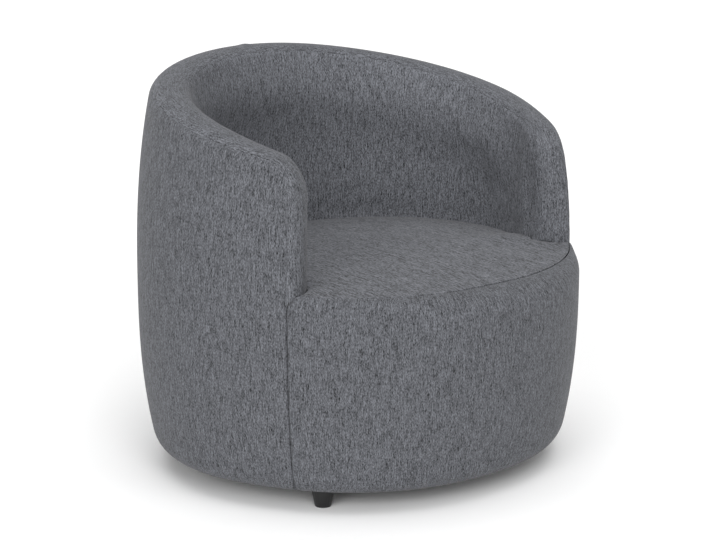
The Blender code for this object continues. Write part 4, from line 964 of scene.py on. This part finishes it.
def add_node(tree, kind, inputs=None, **options):
    """Add a node to a tree, set its properties, and link or set its inputs by name or index."""
    node = tree.nodes.new(kind)
    for key, value in options.items():
        setattr(node, key, value)
    for key, value in (inputs or {}).items():
        if isinstance(value, bpy.types.NodeSocket):
            tree.links.new(value, node.inputs[key])
        else:
            node.inputs[key].default_value = value
    return node


def staple_tree():
    """Geometry Nodes tree that lays staples along a path; returns it and its input identifiers."""
    tree = bpy.data.node_groups.new("staple_run", "GeometryNodeTree")
    kinds = (("Geometry", "Geometry"), ("Spacing", "Float"), ("Crown", "Float"), ("Wire", "Float"),
             ("Turn", "Float"), ("Seed", "Int"), ("Material", "Material"))
    names = {}
    for name, kind in kinds:
        socket = tree.interface.new_socket(name=name, in_out="INPUT", socket_type="NodeSocket" + kind)
        names[name] = socket.identifier
    tree.interface.new_socket(name="Geometry", in_out="OUTPUT", socket_type="NodeSocketGeometry")
    given = add_node(tree, "NodeGroupInput").outputs
    path = add_node(tree, "GeometryNodeMeshToCurve", {"Mesh": given["Geometry"]})
    even = add_node(
        tree, "GeometryNodeResampleCurve", {"Curve": path.outputs[0], "Length": given["Spacing"]},
        mode="LENGTH")
    half = add_node(tree, "ShaderNodeMath", {0: given["Wire"], 1: 0.5}, operation="MULTIPLY")
    size = add_node(
        tree, "ShaderNodeCombineXYZ", {"X": given["Crown"], "Y": given["Wire"], "Z": half.outputs[0]})
    staple = add_node(tree, "GeometryNodeMeshCube", {"Size": size.outputs[0]})
    tangent = add_node(tree, "GeometryNodeInputTangent")
    aim = add_node(tree, "FunctionNodeAlignRotationToVector", {"Vector": tangent.outputs[0]}, axis="X")
    back = add_node(tree, "ShaderNodeMath", {0: given["Turn"], 1: -1.0}, operation="MULTIPLY")
    turn = add_node(
        tree, "FunctionNodeRandomValue", {2: back.outputs[0], 3: given["Turn"], "Seed": given["Seed"]},
        data_type="FLOAT")
    yaw = add_node(tree, "ShaderNodeCombineXYZ", {"Z": turn.outputs[1]})
    turned = add_node(tree, "FunctionNodeEulerToRotation", {"Euler": yaw.outputs[0]})
    facing = add_node(
        tree, "FunctionNodeRotateRotation", {"Rotation": aim.outputs[0], "Rotate By": turned.outputs[0]},
        rotation_space="LOCAL")
    laid = add_node(tree, "GeometryNodeInstanceOnPoints", {
        "Points": even.outputs[0], "Instance": staple.outputs["Mesh"], "Rotation": facing.outputs[0]})
    real = add_node(tree, "GeometryNodeRealizeInstances", {"Geometry": laid.outputs[0]})
    painted = add_node(
        tree, "GeometryNodeSetMaterial", {"Geometry": real.outputs[0], "Material": given["Material"]})
    add_node(tree, "NodeGroupOutput", {"Geometry": painted.outputs[0]})
    return tree, names


def staples(material):
    """Row of staples that holds the dust cover, clear of the feet."""
    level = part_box("dust_cover")[1].z - STAPLE_LEVEL
    path = base_line(STAPLE_INSET, STAPLE_STEP)
    clear = np.min([np.hypot(*(path - spot).T) for spot in foot_spots()], axis=0) > FOOT_CLEARANCE
    lines = [(k, (k + 1) % len(path)) for k in range(len(path)) if clear[k] and clear[(k + 1) % len(path)]]
    mesh = bpy.data.meshes.new("staple_path")
    mesh.from_pydata([(x, y, level) for x, y in path], lines, [])
    carrier = bpy.data.objects.new("staple_path", mesh)
    bpy.context.scene.collection.objects.link(carrier)
    tree, names = staple_tree()
    run = carrier.modifiers.new("staples", "NODES")
    run.node_group = tree
    values = {"Spacing": chair().staple_spacing, "Crown": STAPLE_CROWN, "Wire": STAPLE_WIRE,
              "Turn": STAPLE_TURN, "Seed": STAPLE_SEED, "Material": material}
    for name, value in values.items():
        run[names[name]] = value
    solid = bpy.data.meshes.new_from_object(carrier.evaluated_get(bpy.context.evaluated_depsgraph_get()))
    bpy.data.objects.remove(carrier)
    solid.name = "dust_cover_staples"
    piece = bpy.data.objects.new("dust_cover_staples", solid)
    bpy.context.scene.collection.objects.link(piece)
    return piece


# Materials

# Lit and shaded copies of one chenille, with painted light: each panel's level darkens or lightens the same
# yarn tones to stand for the light that falls on that panel, lightest on the inside against its shade.
# Columns: material name, painted light level, contrast, coarseness.
# The seat is seen at a low angle, where real yarns would blur away, so they are drawn coarser there; its
# higher contrast is painted shade of the pile's relief.
CLOTH_LIT_COPIES = {
    "outside": ("melange_chenille_outside", 0.69, 1.95, 1.0),
    "inside": ("melange_chenille_inside", 0.90, 1.95, 1.0),
    "band": ("melange_chenille_band", 0.76, 1.95, 1.0),
    "seat": ("melange_chenille_seat", 0.68, 2.5, 1.5),
}
DARKEST_YARN = 0.004
PILE_HEIGHT = 0.0008
SHORT_SLUB = 0.2
SHORT_SLUB_SHARE = 0.57
SHORT_SLUB_SEED = 311.7
YARN_STRIDE = 7.31

# Stock of the hidden frame and the feet, by the start of a CAD slot's name: material name, dark and light
# tone, pattern scale in millimetres, roughness, metallic, and how the pattern is stretched.
FRAME_STOCK = {
    # Sawn birch plywood: pale matt wood with a soft grain that runs upright, about 9 mm wide
    "plywood": ("birch_plywood", "B99666", "D8BC8C", 9.0, 0.6, 0.0, (1.0, 1.0, 0.12)),
    # Pressed hardboard: brown and matt; its fibres are finer, and are drawn 2.5 mm coarse so that they show
    "hardboard": ("pressed_hardboard", "5B4026", "76583A", 2.5, 0.7, 0.0, (1.0, 1.0, 1.0)),
    # Zinc-plated steel: a dull silver sheen with a faint cloudiness about 6 mm across
    "plated_steel": ("zinc_plated_steel", "8E9297", "B4B8BC", 6.0, 0.35, 1.0, (1.0, 1.0, 1.0)),
    # Needled felt: grey and quite matt; its fibres are finer, and are drawn 1.6 mm coarse so that they show
    "felt": ("needled_felt", "6A6762", "8B8780", 1.6, 0.95, 0.0, (1.0, 1.0, 1.0)),
    # Moulded plastic: near black with a soft shine; its mould texture is finer, and is drawn 1.2 mm coarse
    "black_plastic": ("moulded_black_plastic", "0C0C0D", "121213", 1.2, 0.45, 0.0, (1.0, 1.0, 1.0)),
    # Spunbonded polypropylene: black and matt; its bonds are finer, and are drawn 0.9 mm coarse
    "nonwoven": ("nonwoven_polypropylene", "141416", "202023", 0.9, 0.85, 0.0, (1.0, 1.0, 1.0)),
}


def new_material(name, roughness, metallic=0.0):
    """Material with its node tree and its surface shader."""
    material = bpy.data.materials.new(name)
    material.use_nodes = True
    tree = material.node_tree
    shader = tree.nodes["Principled BSDF"]
    shader.inputs["Roughness"].default_value = roughness
    shader.inputs["Metallic"].default_value = metallic
    return material, tree, shader


def surface_pattern(tree, shader, pattern, stops, strength, distance):
    """Lead a pattern through a colour ramp to the shader's colour, and through a bump to its surface."""
    ramp = add_node(tree, "ShaderNodeValToRGB", {"Fac": pattern})
    for stop, (position, colour) in zip(ramp.color_ramp.elements, stops):
        stop.position = position
        stop.color = colour
    tree.links.new(ramp.outputs["Color"], shader.inputs["Base Color"])
    bump = add_node(tree, "ShaderNodeBump", {"Height": pattern, "Strength": strength, "Distance": distance})
    tree.links.new(bump.outputs["Normal"], shader.inputs["Normal"])


def streaks(tree, number, along, length, seed):
    """Tone that varies along each yarn over a length, and from yarn to yarn."""
    apart = add_node(tree, "ShaderNodeMath", {0: number, 1: YARN_STRIDE, 2: seed}, operation="MULTIPLY_ADD")
    run = add_node(tree, "ShaderNodeMath", {0: along, 1: length}, operation="DIVIDE")
    spot = add_node(tree, "ShaderNodeCombineXYZ", {"X": apart.outputs[0], "Y": run.outputs[0]})
    noise = add_node(tree, "ShaderNodeTexNoise", {"Vector": spot.outputs[0], "Scale": 1.0, "Detail": 1.0})
    return noise.outputs["Fac"]


def chenille(name, painted_light_level, contrast, coarseness):
    """Blue-grey melange chenille: slubbed yarns of mixed tone along the warp, with a soft matt pile; its yarn
    tones are scaled by the panel's painted light level.
    """
    material, tree, shader = new_material(name, 0.92)
    cloth = add_node(tree, "ShaderNodeUVMap", uv_map="cloth")
    apart = add_node(tree, "ShaderNodeSeparateXYZ", {"Vector": cloth.outputs["UV"]}).outputs
    yarn = add_node(
        tree, "ShaderNodeMath", {0: apart["X"], 1: chair().yarn_width * coarseness}, operation="DIVIDE")
    number = add_node(tree, "ShaderNodeMath", {0: yarn.outputs[0]}, operation="FLOOR").outputs[0]
    length = chair().slub_length * coarseness
    long = streaks(tree, number, apart["Y"], length, 0.0)
    short = streaks(tree, number, apart["Y"], SHORT_SLUB * length, SHORT_SLUB_SEED)
    mix = add_node(tree, "ShaderNodeMix", {"Factor": SHORT_SLUB_SHARE, "A": long, "B": short})
    middle = (np.array(chair().yarn_light) + np.array(chair().yarn_dark)) / 2
    half = contrast * (np.array(chair().yarn_light) - np.array(chair().yarn_dark)) / 2
    # Painted light: the panel's level scales both yarn tones, lighter on lit panels and darker on shaded
    # ones.
    dark, light = (np.maximum(painted_light_level * tone, DARKEST_YARN).tolist() for tone in (middle - half, middle + half))
    stops = ((0.33, (*dark, 1.0)), (0.67, (*light, 1.0)))
    surface_pattern(tree, shader, mix.outputs["Result"], stops, 0.6, PILE_HEIGHT)
    shader.inputs["Sheen Weight"].default_value = 0.08
    shader.inputs["Sheen Roughness"].default_value = 0.5
    shader.inputs["Specular IOR Level"].default_value = 0.2
    return material


def speckled(name, dark, light, scale_mm, roughness, metallic, stretch):
    """Plain stock material with a fine procedural variation of tone, on Object coordinates."""
    material, tree, shader = new_material(name, roughness, metallic)
    where = add_node(tree, "ShaderNodeTexCoord").outputs["Object"]
    per_metre = tuple(1000.0 / scale_mm * s for s in stretch)
    scaled = add_node(tree, "ShaderNodeVectorMath", {0: where, 1: per_metre}, operation="MULTIPLY")
    noise = add_node(tree, "ShaderNodeTexNoise", {"Vector": scaled.outputs[0], "Scale": 1.0, "Detail": 4.0})
    stops = ((0.3, to_linear(dark)), (0.7, to_linear(light)))
    surface_pattern(tree, shader, noise.outputs["Fac"], stops, 0.15, 0.0003)
    return material


def cloth_material(lit_copy):
    """Chenille with the painted light of one of the panels."""
    name, *look = CLOTH_LIT_COPIES[lit_copy]
    return bpy.data.materials.get(name) or chenille(name, *look)


def stock_material(slot):
    """Material of a kind of stock in the hidden frame."""
    return bpy.data.materials.get(FRAME_STOCK[slot][0]) or speckled(*FRAME_STOCK[slot])


def finish_padded(piece, lit_copy, nodes):
    """Hand a finished padded panel to the frame, in place of the cover and the pad that it shows."""
    finish_piece(piece, cloth_material(lit_copy), nodes)


# Stage

FLOOR_HALF = 30
WORLD_STRENGTH = 0.22
# Soft lights: name, direction they come from, strength, and apparent width in degrees
LIGHTS = (
    ("side_softbox", (-3.2, -1.2, 1.2), 1.5, 34),
    ("front_softbox", (-1.8, -3.2, 2.0), 1.35, 34),
    ("top_softbox", (-0.1, -1.2, 2.2), 0.5, 34),
    ("overhead_softbox", (0.1, 0.2, 2.6), 1.4, 60),
)
CAMERA_AZIMUTH = math.radians(-42.36)
CAMERA_ELEVATION = math.radians(12.37)
CAMERA_PLACE = (-2.2609, -2.4632, 1.0792)
CAMERA_LENS = 93.93
CAMERA_SENSOR = 36.0


def build_floor():
    """Plain floor in matt white studio paint, which shows the chair's soft shadow and hardly any shine."""
    mesh = bpy.data.meshes.new("studio_floor")
    corners = [(x * FLOOR_HALF, y * FLOOR_HALF, 0) for x, y in ((-1, -1), (1, -1), (1, 1), (-1, 1))]
    mesh.from_pydata(corners, [], [(0, 1, 2, 3)])
    floor = bpy.data.objects.new("studio_floor", mesh)
    bpy.context.scene.collection.objects.link(floor)
    material, _, shader = new_material("matte_studio_floor", 0.9)
    shader.inputs["Base Color"].default_value = to_linear("FFFFFF")
    shader.inputs["Specular IOR Level"].default_value = 0.1
    mesh.materials.append(material)
    return floor


def soft_light(name, toward, strength, spread):
    """Large distant soft light that reaches the whole floor evenly."""
    lamp = bpy.data.lights.new(name, "SUN")
    lamp.angle = math.radians(spread)
    lamp.energy = strength
    light = bpy.data.objects.new(name, lamp)
    light.location = Vector(toward)
    light.rotation_euler = Vector(toward).to_track_quat("Z", "Y").to_euler()
    bpy.context.scene.collection.objects.link(light)


def build_world():
    """Dim even world light; the camera and reflections see it white."""
    world = bpy.data.worlds.new("studio_world")
    bpy.context.scene.world = world
    world.use_nodes = True
    tree = world.node_tree
    soft = tree.nodes["Background"]
    soft.inputs["Color"].default_value = (1.0, 1.0, 1.0, 1.0)
    soft.inputs["Strength"].default_value = WORLD_STRENGTH
    white = add_node(tree, "ShaderNodeBackground", {"Color": (1.0, 1.0, 1.0, 1.0), "Strength": 1.0})
    ray = add_node(tree, "ShaderNodeLightPath").outputs
    seen = ray["Is Camera Ray"]
    for kind in ("Is Glossy Ray", "Is Transmission Ray"):
        seen = add_node(tree, "ShaderNodeMath", {0: seen, 1: ray[kind]}, operation="MAXIMUM").outputs[0]
    mix = add_node(tree, "ShaderNodeMixShader", {0: seen, 1: soft.outputs[0], 2: white.outputs[0]})
    tree.links.new(mix.outputs[0], tree.nodes["World Output"].inputs["Surface"])


def build_camera():
    """Camera at the photograph's viewing angle."""
    lens = bpy.data.cameras.new("studio_camera")
    lens.sensor_width = CAMERA_SENSOR
    lens.lens = CAMERA_LENS
    camera = bpy.data.objects.new("studio_camera", lens)
    level = math.cos(CAMERA_ELEVATION)
    back = Vector((
        math.sin(CAMERA_AZIMUTH) * level,
        -math.cos(CAMERA_AZIMUTH) * level,
        math.sin(CAMERA_ELEVATION),
    ))
    camera.location = CAMERA_PLACE
    camera.rotation_euler = back.to_track_quat("Z", "Y").to_euler()
    bpy.context.scene.collection.objects.link(camera)
    bpy.context.scene.camera = camera


# Operators

class CHAIR_OT_frame_stock(bpy.types.Operator):
    """Give every CAD node its stock material"""

    bl_idname = "chair.frame_stock"
    bl_label = "Frame materials"

    def execute(self, context):
        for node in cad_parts.values():
            slot = node.data.materials[0].name.split(".")[0]
            match = next((key for key in FRAME_STOCK if slot.startswith(key)), None)
            if match:
                node.data.materials.clear()
                node.data.materials.append(stock_material(match))
        return {"FINISHED"}


class CHAIR_OT_outer_wall(bpy.types.Operator):
    """Build the outside back and arms"""

    bl_idname = "chair.outer_wall"
    bl_label = "Outside wall"

    def execute(self, context):
        finish_padded(outer_wall(), "outside", ("outer_cover", "outer_pad"))
        return {"FINISHED"}


class CHAIR_OT_inner_wall(bpy.types.Operator):
    """Build the inside back and arms"""

    bl_idname = "chair.inner_wall"
    bl_label = "Inside wall"

    def execute(self, context):
        finish_padded(inner_wall(), "inside", ("inner_cover", "inner_pad"))
        return {"FINISHED"}


class CHAIR_OT_rim_band(bpy.types.Operator):
    """Build the band over the rim and the arm fronts"""

    bl_idname = "chair.rim_band"
    bl_label = "Rim and arm band"

    def execute(self, context):
        finish_padded(rim_band(), "band", ("rim_band_cover", "rim_pad"))
        return {"FINISHED"}


class CHAIR_OT_seat(bpy.types.Operator):
    """Build the crowned seat"""

    bl_idname = "chair.seat"
    bl_label = "Seat"

    def execute(self, context):
        finish_padded(seat_top(), "seat", ("seat_top_cover", "seat_foam"))
        return {"FINISHED"}


class CHAIR_OT_seat_front(bpy.types.Operator):
    """Build the seat front"""

    bl_idname = "chair.seat_front"
    bl_label = "Seat front"

    def execute(self, context):
        finish_padded(seat_front(), "outside", ("front_cover", "front_pad"))
        return {"FINISHED"}


class CHAIR_OT_dust_cover(bpy.types.Operator):
    """Build the dust cover"""

    bl_idname = "chair.dust_cover"
    bl_label = "Dust cover"

    def execute(self, context):
        piece, size, area = dust_cover()
        finish_piece(piece, stock_material("nonwoven"), ("dust_cover",))
        return {"FINISHED"}


class CHAIR_OT_staples(bpy.types.Operator):
    """Build the staples that hold the dust cover"""

    bl_idname = "chair.staples"
    bl_label = "Staples"

    def execute(self, context):
        material = stock_material("plated_steel")
        finish_piece(staples(material), material, ())
        return {"FINISHED"}


class CHAIR_OT_stage(bpy.types.Operator):
    """Build the floor, lights and camera"""

    bl_idname = "chair.stage"
    bl_label = "Studio stage"

    def execute(self, context):
        build_floor()
        build_world()
        for light in LIGHTS:
            soft_light(*light)
        build_camera()
        context.scene.view_settings.view_transform = "Standard"
        return {"FINISHED"}


STEPS = (
    CHAIR_OT_frame_stock,
    CHAIR_OT_outer_wall,
    CHAIR_OT_inner_wall,
    CHAIR_OT_rim_band,
    CHAIR_OT_seat,
    CHAIR_OT_seat_front,
    CHAIR_OT_dust_cover,
    CHAIR_OT_staples,
    CHAIR_OT_stage,
)


class CHAIR_PT_panel(bpy.types.Panel):
    """Sidebar panel with the settings and the steps that build the chair"""

    bl_idname = "CHAIR_PT_panel"
    bl_label = "Barrel Chair"
    bl_space_type = "VIEW_3D"
    bl_region_type = "UI"
    bl_category = "Chair"

    def draw(self, context):
        for key in ChairSettings.__annotations__:
            self.layout.prop(context.scene.barrel_chair, key)
        for step in STEPS:
            self.layout.operator(step.bl_idname)


CLASSES = (ChairSettings, *STEPS, CHAIR_PT_panel)


def register():
    """Register the classes and the chair's settings."""
    for item in CLASSES:
        bpy.utils.register_class(item)
    bpy.types.Scene.barrel_chair = bpy.props.PointerProperty(type=ChairSettings)


def unregister():
    """Take the settings and the classes away again."""
    del bpy.types.Scene.barrel_chair
    for item in reversed(CLASSES):
        bpy.utils.unregister_class(item)


def main():
    """Build every piece through its operator."""
    register()
    bpy.ops.chair.frame_stock()
    bpy.ops.chair.outer_wall()
    bpy.ops.chair.inner_wall()
    bpy.ops.chair.rim_band()
    bpy.ops.chair.seat()
    bpy.ops.chair.seat_front()
    bpy.ops.chair.dust_cover()
    bpy.ops.chair.staples()
    bpy.ops.chair.stage()
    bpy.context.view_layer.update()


if __name__ == "__main__":
    main()
